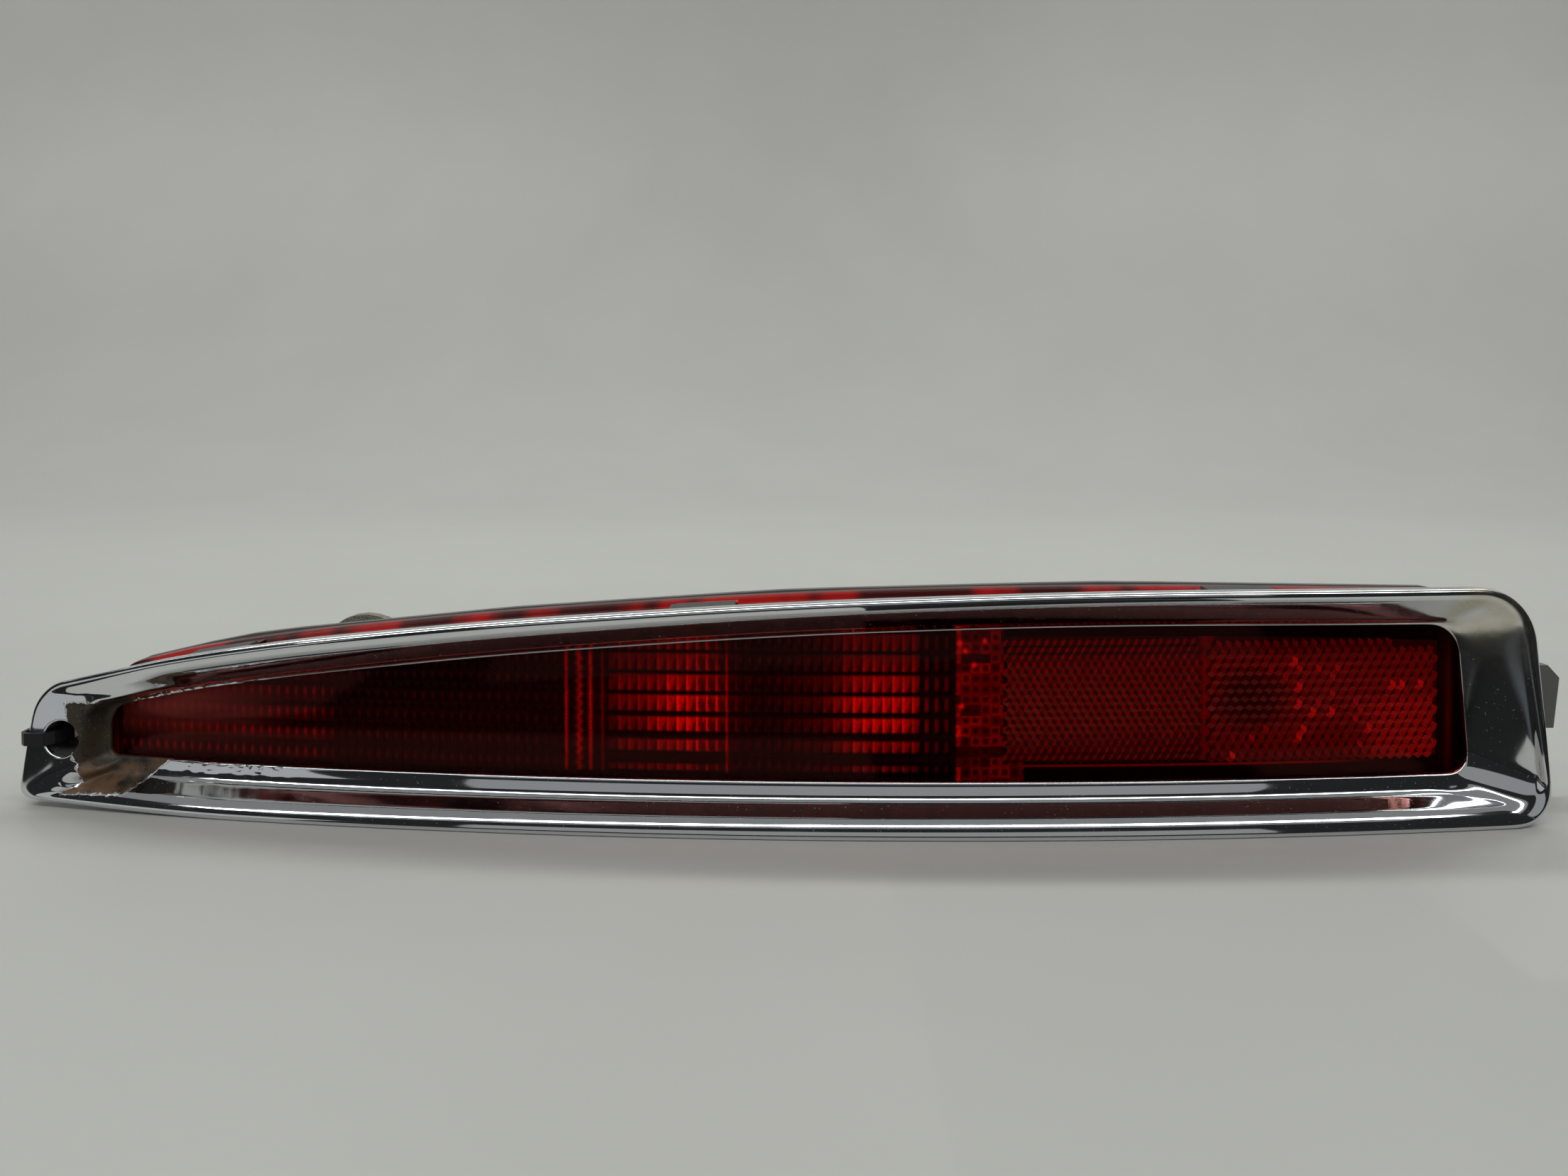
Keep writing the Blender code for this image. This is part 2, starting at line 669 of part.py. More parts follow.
def make_glass(name, axis, size, foot, wall=0.8, rounds=5):
    """A blown envelope, open at its foot."""
    radius, tip = size["glass"], -size["tip"]
    neck = radius * 0.72
    shoulder = foot - 0.25 * (foot - tip)
    dome = tip + radius

    def skin(inset):
        points = [(neck - inset, foot), (neck - inset, foot - 2), (radius - inset, shoulder)]
        for k in range(rounds + 1):
            turn = math.pi / 2 * k / rounds
            points.append(((radius - inset) * math.cos(turn), dome - (radius - inset) * math.sin(turn)))
        return points[:-1] + [(0, points[-1][1])]

    outer, inner = skin(0), skin(wall)
    glass = turned(f"{name}_bulb_glass", inner[::-1] + outer, 20)
    place(glass, "glass", axis)


def make_filament(name, axis, foot, size):
    """Two lead wires with the filament bent between them."""
    reach = size["glass"] * 0.3
    height = 0.5 * (foot + size["tip"])
    curve = bpy.data.curves.new(f"{name}_filament", "CURVE")
    curve.dimensions = "3D"
    curve.bevel_depth = 0.45 * MM
    curve.bevel_resolution = 1
    curve.use_fill_caps = True
    line = [
        (-reach, foot), (-reach, foot - height), (-reach * 0.4, foot - height - 1.5),
        (reach * 0.4, foot - height - 1.5), (reach, foot - height), (reach, foot),
    ]
    wire = curve.splines.new("POLY")
    wire.points.add(len(line) - 1)
    for point, (x, y) in zip(wire.points, line):
        point.co = (x * MM, y * MM, 0, 1)
    place(bpy.data.objects.new(curve.name, curve), "tungsten", axis)


# --------------------------------------------------------------------------------- fixings and the rest
def make_studs():
    flange_radius, flange_height = STUD_FLANGE
    inner, outer, thickness = STUD_SEAL
    for i, (x, z) in enumerate(STUDS, 1):
        stud = turned(f"stud_{i}", [
            (0, STUD_LENGTH), (STUD_RADIUS - 0.6, STUD_LENGTH), (STUD_RADIUS, STUD_LENGTH - 0.8),
            (STUD_RADIUS, flange_height + GAP), (flange_radius, flange_height + GAP), (flange_radius, GAP),
            (0, GAP),
        ], 20)
        seal = turned(f"stud_seal_{i}", [
            (outer, thickness), (outer, GAP), (inner, GAP), (inner, thickness)
        ], 28)
        for obj, finish in ((stud, "steel"), (seal, "foam")):
            obj.location = Vector((x, BACK_Y, z)) * MM
            place(obj, finish)


def make_vent():
    cap = turned("vent_cap", [
        (0, 8), (5.5, 8), (7, 6.5), (7, GAP), (3, GAP), (3, -4.5), (1.6, -4.5), (1.6, 5), (0, 5)
    ], 20)
    cap.location = Vector((VENT[0], BACK_Y, VENT[1])) * MM
    place(cap, "rubber")


def make_tie():
    """A nylon strap looped through the nose hole and round the end of the bezel."""
    x, z = NOSE_HOLE
    front = crest(x, z)
    path = [
        (x - 1, front + 11), (x - 4.2, front + 4), (x - 6.4, front + 1), (x - 13.4, front + 1),
        (x - 15.2, front + 2.8), (x - 15.4, front + 10), (x - 13, front + 17.5), (x - 9, front + 20.4), (x - 3, front + 20.6),
    ]
    loops = []
    for half in (TIE_THICKNESS / 2, -TIE_THICKNESS / 2):
        loop = []
        for i, p in enumerate(path):
            before, after = Vector(path[i - 1]), Vector(path[(i + 1) % len(path)])
            along = (after - before).normalized()
            loop.append(Vector(p) + Vector((along.y, -along.x)) * half)
        loops.append(loop)
    curve = bpy.data.curves.new("cable_tie", "CURVE")
    curve.dimensions = "2D"
    curve.fill_mode = "BOTH"
    curve.extrude = TIE_WIDTH / 2 * MM
    for loop in loops:
        spline = curve.splines.new("POLY")
        spline.points.add(len(loop) - 1)
        spline.use_cyclic_u = True
        for point, (px, py) in zip(spline.points, loop):
            point.co = (px * MM, py * MM, 0, 1)
    flat = bpy.data.objects.new("tie_outline", curve)
    CUTTERS.objects.link(flat)
    mesh = bpy.data.meshes.new_from_object(flat.evaluated_get(bpy.context.evaluated_depsgraph_get()))
    bpy.data.objects.remove(flat)
    bm = bmesh.new()
    bm.from_mesh(mesh)
    bmesh.ops.remove_doubles(bm, verts=bm.verts, dist=0.00001)
    for vert in bm.verts:
        vert.co.y += LEAN * vert.co.z
    bm.to_mesh(mesh)
    bm.free()
    tie = bpy.data.objects.new("cable_tie", mesh)
    tie.location.z = z * MM
    place(tie, "tie")
    head = box("tie_head", (x - 14, x - 7.4), (front + 18.6, front + 23.4), (-3.6, 3.6))
    combine(tie, "UNION", [head])
    head.location.z = z * MM


make_bezel()
make_lens()
make_lens_seal()
make_reflex()
make_housing()
for chamber_name, chamber_shape in CHAMBERS.items():
    make_reflector(chamber_name, chamber_shape)
    make_socket(chamber_name, chamber_shape)
make_studs()
make_vent()
make_tie()
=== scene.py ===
"""Looks of the tail lamp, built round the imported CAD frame.

Shapes are written in the lamp's own millimetres, as in the CAD: +X to the wide end, y rearwards from the
crest of the bezel, +Z up, and the lamp stands on its long lower edge. mesh_from_bmesh and to_row turn them
into row-frame metres.
"""

import math

import bmesh
import bpy
import numpy as np
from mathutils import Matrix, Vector, noise
from mathutils.bvhtree import BVHTree
from mathutils.geometry import delaunay_2d_cdt


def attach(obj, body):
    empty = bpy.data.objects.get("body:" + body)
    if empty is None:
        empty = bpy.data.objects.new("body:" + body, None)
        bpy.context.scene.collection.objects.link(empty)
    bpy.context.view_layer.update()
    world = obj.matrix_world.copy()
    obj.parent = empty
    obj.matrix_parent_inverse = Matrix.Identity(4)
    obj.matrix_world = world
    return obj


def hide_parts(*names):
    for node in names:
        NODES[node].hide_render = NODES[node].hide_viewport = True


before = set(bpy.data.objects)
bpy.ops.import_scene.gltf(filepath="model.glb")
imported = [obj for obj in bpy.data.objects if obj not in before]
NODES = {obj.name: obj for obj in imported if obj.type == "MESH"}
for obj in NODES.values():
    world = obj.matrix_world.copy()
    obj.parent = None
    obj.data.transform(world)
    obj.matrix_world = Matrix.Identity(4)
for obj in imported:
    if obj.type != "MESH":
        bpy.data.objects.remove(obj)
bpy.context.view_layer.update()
BODY = "lamp_body"

MM = 0.001
# The row frame's zero, in the lamp's own millimetres
ORIGIN = np.array((5.72, 57.1, 0.0))

# The crest of the bezel bends back towards both ends on one large radius, and the whole front leans back as
# it rises.
CREST_RADIUS = 1750
CREST_APEX = 62
LEAN = 0.15

# Outlines seen from the front, as corners (x, z, radius): lower nose, upper nose, four along the top, upper
# and lower corner of the wide end.
RIM = [
    (-292.5, 0, 5), (-284.5, 44.8, 16), (-210, 63, 320), (-103, 75.2, 520), (0, 82.9, 700), (114, 86.8, 900),
    (269.8, 86.4, 22), (280.8, 0, 13),
]
CREASE = [
    (-279.7, 6.2, 6), (-271, 42.5, 12), (-209.6, 57, 320), (-104.7, 69.3, 520), (0, 77.8, 700),
    (111.4, 81.9, 900), (264.9, 81.4, 17), (276.4, 7.2, 10),
]
LIP = [
    (-260.3, 16.7, 3), (-260.1, 35.9, 9), (-208.7, 47.4, 300), (-105.3, 60.4, 500), (0, 68.9, 700),
    (107.8, 72.5, 900), (248.5, 71.3, 12), (254, 16.6, 7),
]
LENS_SIDE = [
    (-260.3, 2.8, 5), (-261.6, 47, 8), (-209.6, 59.8, 300), (-102.7, 72.1, 500), (0, 79.9, 700),
    (120, 83, 900), (266.5, 79.2, 24), (277.3, 2.8, 12),
]
# Points on each corner's arc, and on the side that follows it
ARC_POINTS = (16, 24, 8, 8, 8, 8, 28, 20)
SIDE_POINTS = (44, 92, 60, 50, 50, 72, 56, 300)
TOP_ROW = (1, 6)
TOP_FAIRING = 260
ALL_FAIRING = 8
# The lower side's points stand closer together towards the nose.
NOSE_CROWDING = 1.35

NOSE_LIFT_FROM = -205
NOSE_LIFT_SPAN = 87.5
NOSE_LIFT = 3.3
# The upper half of the nose pad rolls back towards its top edge.
PAD_ROLL_FROM = 24
PAD_ROLL_SPAN = 19
PAD_ROLL = 1.9

# Depths behind the crest
SKIRT_DEPTH = 8
LIP_DEPTH = 12.8
LENS_EDGE_DEPTH = 14.9
LENS_CROWN = 2.2
LENS_FOOT_DEPTH = 32

NOSE_HOLE = (-274.1, 26.1)
CLIP_X = (-212, -28.6, 164)
CLIP_WIDTH = 24
# Clips above this height are on the top side.
MIDDLE_HEIGHT = 30


# ---------------- mesh helpers
def to_row(points):
    return (np.asarray(points, float) - ORIGIN) * MM


def ease(low, high, value):
    share = np.clip((value - low) / (high - low), 0, 1)
    return share * share * (3 - 2 * share)


def finish_piece(mesh, materials, replaced, sharp):
    """Makes a mesh in row-frame metres into a piece that rides on the lamp's body in place of a CAD node."""
    for made in materials:
        mesh.materials.append(made)
    mesh.shade_smooth()
    mesh.set_sharp_from_angle(angle=math.radians(sharp))
    piece = bpy.data.objects.new(mesh.name, mesh)
    bpy.context.scene.collection.objects.link(piece)
    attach(piece, BODY)
    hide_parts(replaced)


def mesh_from_bmesh(name, bm):
    """A mesh in row-frame metres from a bmesh in lamp millimetres."""
    for vert in bm.verts:
        vert.co = (vert.co - Vector(ORIGIN)) * MM
    bmesh.ops.recalc_face_normals(bm, faces=bm.faces)
    mesh = bpy.data.meshes.new(name)
    bm.to_mesh(mesh)
    bm.free()
    return mesh


def store(mesh, name, values, domain="POINT"):
    """Keeps one number for each point or face of a mesh, for its material to read."""
    layer = mesh.attributes.new(name, "FLOAT", domain)
    layer.data.foreach_set("value", np.asarray(values, np.float32))


def lamp_points(mesh):
    """The points of a mesh in lamp millimetres."""
    return np.array([vert.co for vert in mesh.vertices]) / MM + ORIGIN


def face_middles(mesh):
    return np.array([face.center for face in mesh.polygons]) / MM + ORIGIN


# ---------------- outlines
def crest(x, z):
    """How far back the front of the bezel stands."""
    return (x - CREST_APEX) ** 2 / (2 * CREST_RADIUS) + LEAN * z


def unit(vector):
    return vector / np.linalg.norm(vector)


def cross(a, b):
    return a[0] * b[1] - a[1] * b[0]


def inset_corners(corners, inset):
    points = [np.array(c[:2], float) for c in corners]
    lines = []
    for here, there in zip(points, points[1:] + points[:1]):
        along = unit(there - here)
        lines.append((here + np.array((along[1], -along[0])) * inset, along))
    moved = []
    for i, corner in enumerate(corners):
        (p, u), (q, v) = lines[i - 1], lines[i]
        moved.append((*(p + u * cross(q - p, v) / cross(u, v)), max(corner[2] - inset, 1.2)))
    return moved


def corner_arc(before, corner, after, count):
    tip = np.array(corner[:2], float)
    back, forth = np.array(before[:2]) - tip, np.array(after[:2]) - tip
    room = 0.48 * min(np.linalg.norm(back), np.linalg.norm(forth))
    back, forth = unit(back), unit(forth)
    half = math.acos(np.clip(back @ forth, -1, 1)) / 2
    reach = min(corner[2] / math.tan(half), room)
    radius = reach * math.tan(half)
    centre = tip + unit(back + forth) * radius / math.sin(half)
    first, last = tip + back * reach - centre, tip + forth * reach - centre
    start = math.atan2(first[1], first[0])
    sweep = math.remainder(math.atan2(last[1], last[0]) - start, 2 * math.pi)
    angles = start + sweep * np.linspace(0, 1, count)
    return centre + radius * np.stack((np.cos(angles), np.sin(angles)), 1)


def relax(points, passes, closed):
    """Fairs a row of points. The ends of an open row stay where they are."""
    for _ in range(passes):
        near = (np.roll(points, 1, 0) + np.roll(points, -1, 0)) / 2
        mixed = (points + near) / 2
        if not closed:
            mixed[0], mixed[-1] = points[0], points[-1]
        points = mixed
    return points


def corner_start(i):
    """The place of a corner's first point in every outline."""
    return sum(ARC_POINTS[:i]) + sum(SIDE_POINTS[:i])


def side_middle(i):
    return corner_start(i) + ARC_POINTS[i] + SIDE_POINTS[i] // 2


def outline(corners, inset=0.0):
    """A dense closed outline from the lower nose corner, up, along the top, down and back. Any two outlines
    have the same count of points, and points of the same index face each other."""
    shape = inset_corners(corners, inset)
    count = len(shape)
    arcs = [corner_arc(shape[i - 1], shape[i], shape[(i + 1) % count], ARC_POINTS[i]) for i in range(count)]
    parts = []
    for i, arc in enumerate(arcs):
        start, end = arc[-1], arcs[(i + 1) % count][0]
        share = np.linspace(0, 1, SIDE_POINTS[i] + 2)[1:-1, None]
        if i == count - 1:
            share = 1 - (1 - share) ** NOSE_CROWDING
        parts += [arc, start + (end - start) * share]
    points = np.concatenate(parts)
    top = slice(corner_start(TOP_ROW[0]) + ARC_POINTS[TOP_ROW[0]], corner_start(TOP_ROW[1]))
    points[top] = relax(points[top], TOP_FAIRING, False)
    return relax(points, ALL_FAIRING, True)


def lift(x, z):
    """How far the nose's lower corner rises off the ground line."""
    share = np.clip((NOSE_LIFT_FROM - x) / NOSE_LIFT_SPAN, 0, 1.2) ** 1.5
    return NOSE_LIFT * share * np.clip(1 - z / 50, 0, 1) ** 2


def behind_crest(points, depth):
    x, z = points[:, 0], points[:, 1]
    return np.stack((x, crest(x, z) + depth, z + lift(x, z)), 1)


def ring_at(corners, inset, depth):
    """A ring of points along an outline, at a depth behind the crest."""
    return behind_crest(outline(corners, inset), depth)


def between(first, second, share):
    return first + (second - first) * share


def torus_faces(rings, count):
    """Quads of a closed row of closed rings."""
    faces = []
    for k in range(rings):
        low, high = k * count, (k + 1) % rings * count
        for i in range(count):
            j = (i + 1) % count
            faces.append((low + i, low + j, high + j, high + i))
    return faces


# ---------------- nodes
class Paint:
    """A node material that is being written."""

    def __init__(self, name, **values):
        self.material = bpy.data.materials.new(name)
        self.material.use_nodes = True
        self.tree = self.material.node_tree
        self.shader = self.tree.nodes["Principled BSDF"]
        self.output = self.tree.nodes["Material Output"]
        self.place = self.add("ShaderNodeTexCoord").outputs["Object"]
        self.set(self.shader, values)

    def fill(self, socket, value):
        """Links an input to an output, or gives it a number, direction or colour."""
        if isinstance(value, bpy.types.NodeSocket):
            self.tree.links.new(value, socket)
        else:
            socket.default_value = (*value, 1) if socket.type == "RGBA" else value

    def set(self, node, values):
        for name, value in values.items():
            self.fill(node.inputs[name if name in node.inputs else name.replace("_", " ")], value)
        return node

    def add(self, kind, props=None, **values):
        node = self.tree.nodes.new(kind)
        for name, value in (props or {}).items():
            setattr(node, name, value)
        return self.set(node, values)

    def noise(self, scale, detail=4.0, roughness=0.55, stretch=None, distortion=0.0):
        """Noise, with scale in features per metre."""
        place = self.place
        if stretch:
            place = self.add("ShaderNodeMapping", Vector=place, Scale=stretch).outputs["Vector"]
        node = self.add(
            "ShaderNodeTexNoise", Vector=place, Scale=scale, Detail=detail, Roughness=roughness,
            Distortion=distortion,
        )
        return node.outputs["Fac"]

    def band(self, value, low, high, bottom=0.0, top=1.0):
        """Maps low..high to bottom..top, with the ends held."""
        node = self.add("ShaderNodeMapRange", {"interpolation_type": "SMOOTHSTEP"}, Value=value)
        for index, number in enumerate((low, high, bottom, top), 1):
            node.inputs[index].default_value = number
        return node.outputs["Result"]

    def math(self, operation, a, b):
        node = self.add("ShaderNodeMath", {"operation": operation})
        self.fill(node.inputs[0], a)
        self.fill(node.inputs[1], b)
        return node.outputs[0]

    def mix(self, share, first, second):
        """Mixes two colours."""
        node = self.add("ShaderNodeMix", {"data_type": "RGBA"})
        for index, value in ((0, share), (6, first), (7, second)):
            self.fill(node.inputs[index], value)
        return node.outputs[2]

    def attribute(self, name):
        return self.add("ShaderNodeAttribute", {"attribute_name": name}).outputs["Fac"]

    def bump(self, height, strength, distance):
        node = self.add("ShaderNodeBump", Strength=strength, Distance=distance, Height=height)
        self.set(self.shader, {"Normal": node.outputs["Normal"]})


# ---------------- camera and stage
FOCAL_PIXELS = 1661
IMAGE_WIDTH = 2212
CAMERA_PLACE = (0, -392, 160)
CAMERA_PITCH = 10


def make_camera():
    data = bpy.data.cameras.new("camera")
    data.sensor_width = 36
    data.lens = data.sensor_width * FOCAL_PIXELS / IMAGE_WIDTH
    data.clip_start = 0.01
    camera = bpy.data.objects.new("camera", data)
    camera.location = to_row(CAMERA_PLACE)
    camera.rotation_euler.x = math.radians(90 - CAMERA_PITCH)
    bpy.context.scene.collection.objects.link(camera)
    bpy.context.scene.camera = camera


def make_light(name, place, aim, size, radiance, colour):
    """A rectangular soft light. Its brightness is what a mirror shows of it."""
    data = bpy.data.lights.new(name, "AREA")
    data.shape = "RECTANGLE"
    data.size, data.size_y = size
    data.energy = radiance * math.pi * size[0] * size[1]
    data.color = colour
    light = bpy.data.objects.new(name, data)
    light.location = place
    light.rotation_euler = (Vector(place) - Vector(aim)).to_track_quat("Z", "Y").to_euler()
    bpy.context.scene.collection.objects.link(light)


def add_stage(name, points, faces, material):
    """A thing of the studio, which isn't part of the lamp."""
    mesh = bpy.data.meshes.new(name)
    mesh.from_pydata(points, [], faces)
    mesh.shade_smooth()
    mesh.materials.append(material)
    thing = bpy.data.objects.new(name, mesh)
    bpy.context.scene.collection.objects.link(thing)
    return thing


def make_stage():
    """A pale floor that sweeps up well behind the lamp."""
    run, bend, top, half = 1.0, 0.9, 2.6, 5.0
    profile = [(-4.0, 0.0), (-1.5, 0.0), (0.0, 0.0), (run, 0.0)]
    for k in range(1, 17):
        angle = math.pi / 2 * k / 16
        profile.append((run + bend * math.sin(angle), bend * (1 - math.cos(angle))))
    profile.append((run + bend, top))
    points = [(x, y, z) for y, z in profile for x in (-half, half)]
    faces = [(2 * k, 2 * k + 1, 2 * k + 3, 2 * k + 2) for k in range(len(profile) - 1)]
    add_stage("floor", points, faces, floor_paint())


def floor_paint():
    paint = Paint("pale_floor", Roughness=0.42, IOR=1.4)
    cloud = paint.noise(5, 3)
    paint.set(paint.shader, {"Base Color": paint.mix(cloud, (0.55, 0.545, 0.515), (0.61, 0.605, 0.575))})
    return paint.material


# Where the wide end's dish is, in metres. A lighter strip of the cloth leads away from it, so that the dish
# shows it as a painted reflection.
WIDE_END = 0.27
# Rectangles of the cloth: left, right, near and far side, in metres
CLOTH = (
    (-1.6, 1.6, -2.0, -0.27), (-1.6, -0.42, -0.27, 0.08), (0.42, 1.6, -0.27, 0.08),
    (0.03, 0.2, -0.27, -0.075), (0.2, 0.42, -0.27, -0.15),
)
CLOTH_HEIGHT = 0.002


def cloth_paint():
    """Dull black, with a lighter strip that leads away from the lamp's wide end: a painted reflection for the
    wide end's dish, since only reflections show the cloth.
    """
    paint = Paint("black_cloth", Roughness=0.9, IOR=1.02)
    weave = paint.mix(paint.noise(300), (0.012, 0.012, 0.012), (0.03, 0.03, 0.03))
    axes = paint.add("ShaderNodeSeparateXYZ", Vector=paint.place).outputs
    slant = paint.math("DIVIDE", paint.math("SUBTRACT", axes["X"], WIDE_END), axes["Y"])
    dish_reflection_strip = paint.math("MINIMUM", paint.band(slant, 0.5, 0.61), paint.band(slant, 0.67, 0.8, 1.0, 0.0))
    paint.set(paint.shader, {"Base Color": paint.mix(dish_reflection_strip, weave, (0.1, 0.108, 0.12))})
    return paint.material


def make_dark_cloth():
    """A black cloth on the floor in front of and beside the lamp, as a studio has for chrome. Only
    reflections show it: the camera, diffuse light and shadows leave it out."""
    points, faces = [], []
    for left, right, near, far in CLOTH:
        faces.append(tuple(range(len(points), len(points) + 4)))
        points += [(x, y, CLOTH_HEIGHT) for x, y in ((left, near), (right, near), (right, far), (left, far))]
    cloth = add_stage("black_cloth", points, faces, cloth_paint())
    cloth.visible_camera = cloth.visible_diffuse = cloth.visible_shadow = False


# Lights, in metres: name, place, the spot that it faces, width and height, brightness and colour
COOL = (0.97, 1.0, 1.0)
TUBE_WHITE = (0.97, 0.995, 0.97)
WALL_WHITE = (0.98, 1.0, 1.0)
LIGHTS = (
    ("ceiling", (0, 0.05, 1.25), (0, 0.05, 0), (2.6, 2.0), 0.22, COOL),
    ("tube", (0, -0.7, 1.22), (0, -0.7, 0), (2.6, 0.11), 10.3, TUBE_WHITE),
    ("tube", (0, 0.6, 1.22), (0, 0.6, 0), (2.6, 0.11), 10.3, TUBE_WHITE),
    ("wall_wash", (-1.8, 0.9, 2.0), (-1.8, 2.0, 0.9), (2.4, 0.5), 4.2, WALL_WHITE),
    ("wall_wash", (1.8, 0.9, 2.0), (1.8, 2.0, 0.9), (2.4, 0.5), 4.2, WALL_WHITE),
    ("front_card", (0.1, -2.0, 1.1), (0.1, 0, 0.4), (2.6, 1.1), 0.28, COOL),
    ("nose_card", (-1.9, -1.25, 0.55), (-0.27, 0, 0.04), (1.3, 0.8), 0.42, COOL),
)
ROOM_COLOUR = (0.019, 0.0195, 0.021, 1)


def make_surroundings():
    make_camera()
    make_stage()
    make_dark_cloth()
    world = bpy.data.worlds.new("room")
    world.use_nodes = True
    world.node_tree.nodes["Background"].inputs["Color"].default_value = ROOM_COLOUR
    bpy.context.scene.world = world
    bpy.context.scene.view_settings.view_transform = "Standard"
    for light in LIGHTS:
        make_light(*light)


# ---------------- chrome
def chrome_paint():
    """Bright chrome over dark plastic: torn off near the nose, yellowed at the wide end, with fine dirt, and
    painted shade in the nose hole's bore.
    """
    paint = Paint("chrome_plating", Metallic=1.0)
    haze = paint.noise(60, 5)
    wear = paint.attribute("wear")
    ragged = paint.noise(420, 6, 0.65, distortion=0.4)
    torn_field = paint.math("ADD", wear, paint.math("MULTIPLY", paint.math("SUBTRACT", ragged, 0.5), 0.7))
    torn = paint.band(torn_field, 0.49, 0.52)
    edge = paint.math("SUBTRACT", paint.band(torn_field, 0.40, 0.47), torn)
    rust_cloud = paint.noise(90, 4)
    height = paint.add("ShaderNodeSeparateXYZ", Vector=paint.place).outputs["Z"]
    coppery = paint.band(height, 0.013, 0.022, 1.0, 0.12)
    tarnish = paint.math("MULTIPLY", paint.attribute("tarnish"), paint.band(paint.noise(45, 5), 0.3, 0.62))
    clean = paint.mix(haze, (0.70, 0.71, 0.73), (0.78, 0.79, 0.80))
    yellowed = paint.mix(paint.math("MULTIPLY", tarnish, 0.75), clean, (0.62, 0.57, 0.42))
    specks = paint.band(paint.noise(1500, 2), 0.71, 0.74)
    dirty = paint.mix(paint.math("MULTIPLY", specks, 0.8), yellowed, (0.52, 0.5, 0.44))
    copper = paint.mix(coppery, (0.026, 0.024, 0.016), (0.17, 0.095, 0.05))
    exposed = paint.mix(paint.band(rust_cloud, 0.3, 0.58), (0.011, 0.0105, 0.008), copper)
    speckled = paint.mix(paint.band(paint.noise(2600, 2), 0.66, 0.7), exposed, (0.3, 0.24, 0.17))
    colour = paint.mix(torn, paint.mix(edge, dirty, (0.9, 0.9, 0.88)), speckled)
    shine = paint.math("ADD", paint.band(haze, 0.3, 0.8, 0.035, 0.085), paint.math("MULTIPLY", tarnish, 0.24))
    rough = paint.math("ADD", shine, paint.math("MULTIPLY", torn, 0.4))
    metal = paint.math("SUBTRACT", 1.0, paint.math("MAXIMUM", torn, paint.math("MULTIPLY", specks, 0.7)))
    # Dark, dull plastic: real on the unplated tongues, and painted shade inside the nose hole's bore.
    bare_and_painted_shade = paint.attribute("bare_and_painted_shade")
    colour = paint.mix(bare_and_painted_shade, colour, paint.mix(haze, (0.045, 0.045, 0.044), (0.075, 0.075, 0.072)))
    rough = paint.math("ADD", rough, paint.math("MULTIPLY", bare_and_painted_shade, 0.5))
    metal = paint.math("MULTIPLY", metal, paint.math("SUBTRACT", 1.0, bare_and_painted_shade))
    paint.set(paint.shader, {"Base Color": colour, "Roughness": rough, "Metallic": metal})
    grit = paint.math("MULTIPLY", paint.noise(900, 4), torn)
    relief = paint.math("ADD", paint.math("SUBTRACT", grit, torn), paint.math("MULTIPLY", edge, 0.6))
    paint.bump(relief, 0.5, 0.0002)
    return paint.material


def clear_paint(name, tint, shine, ior, scuffs, rough):
    """Clear glass or acrylic: light goes through tinted, and the rest is reflected."""
    paint = Paint(name)
    clear = paint.add("ShaderNodeBsdfTransparent", Color=tint)
    rough = paint.band(paint.noise(*scuffs), *rough)
    gloss = paint.add("ShaderNodeBsdfGlossy", Color=shine, Roughness=rough)
    share = paint.add("ShaderNodeFresnel", IOR=ior)
    mixed = paint.add("ShaderNodeMixShader")
    for socket, source in zip(mixed.inputs, (share, clear, gloss)):
        paint.fill(socket, source.outputs[0])
    paint.fill(paint.output.inputs["Surface"], mixed.outputs[0])
    return paint.material


def red_wall_paint():
    """The lens's side walls: saturated red with darker patches where ribs stand behind. Towards their back
    the red turns to a pale mauve-grey, a painted reflection of the pale surroundings at a grazing angle.
    """
    paint = Paint("red_acrylic_wall", Roughness=0.25, IOR=1.14)
    patches = paint.band(paint.noise(34, 2, stretch=(1, 0.1, 0.1)), 0.42, 0.56)
    cloud = paint.noise(70, 4)
    bright = paint.mix(cloud, (0.3, 0.005, 0.005), (0.46, 0.01, 0.008))
    red = paint.mix(patches, bright, (0.05, 0.003, 0.003))
    # Painted reflection: a pale mauve-grey for the surroundings seen at a grazing angle on the wall's back
    # part.
    painted_reflection = paint.mix(cloud, (0.12, 0.055, 0.05), (0.22, 0.13, 0.12))
    paint.set(paint.shader, {"Base Color": paint.mix(paint.attribute("haze"), red, painted_reflection)})
    paint.bump(paint.noise(500, 3), 0.08, 0.0002)
    return paint.material


def optics_paint(name, dark, bright, haze, lit):
    """Deep red moulded optics with painted light: an attribute lightens the red as a painted reflection of
    the bowls behind, and drives a red emission though the lamp is off.
    """
    paint = Paint(name, Roughness=0.2, IOR=1.25)
    painted_glow = paint.attribute("painted_glow")
    level = paint.math("MULTIPLY", painted_glow, paint.band(paint.noise(800, 3), 0.25, 0.7, 0.8, 1.15))
    red = paint.mix(level, dark, bright)
    # Painted light: a red emission that makes the optics shine though the lamp is off.
    through = paint.math("MULTIPLY", paint.math("POWER", level, 1.6), lit)
    paint.set(paint.shader, {
        "Base Color": paint.mix(paint.attribute("haze"), red, haze),
        "Emission Color": (1.0, 0.016, 0.01), "Emission Strength": through,
    })
    paint.bump(paint.noise(1800, 3), 0.05, 0.0001)
    return paint.material


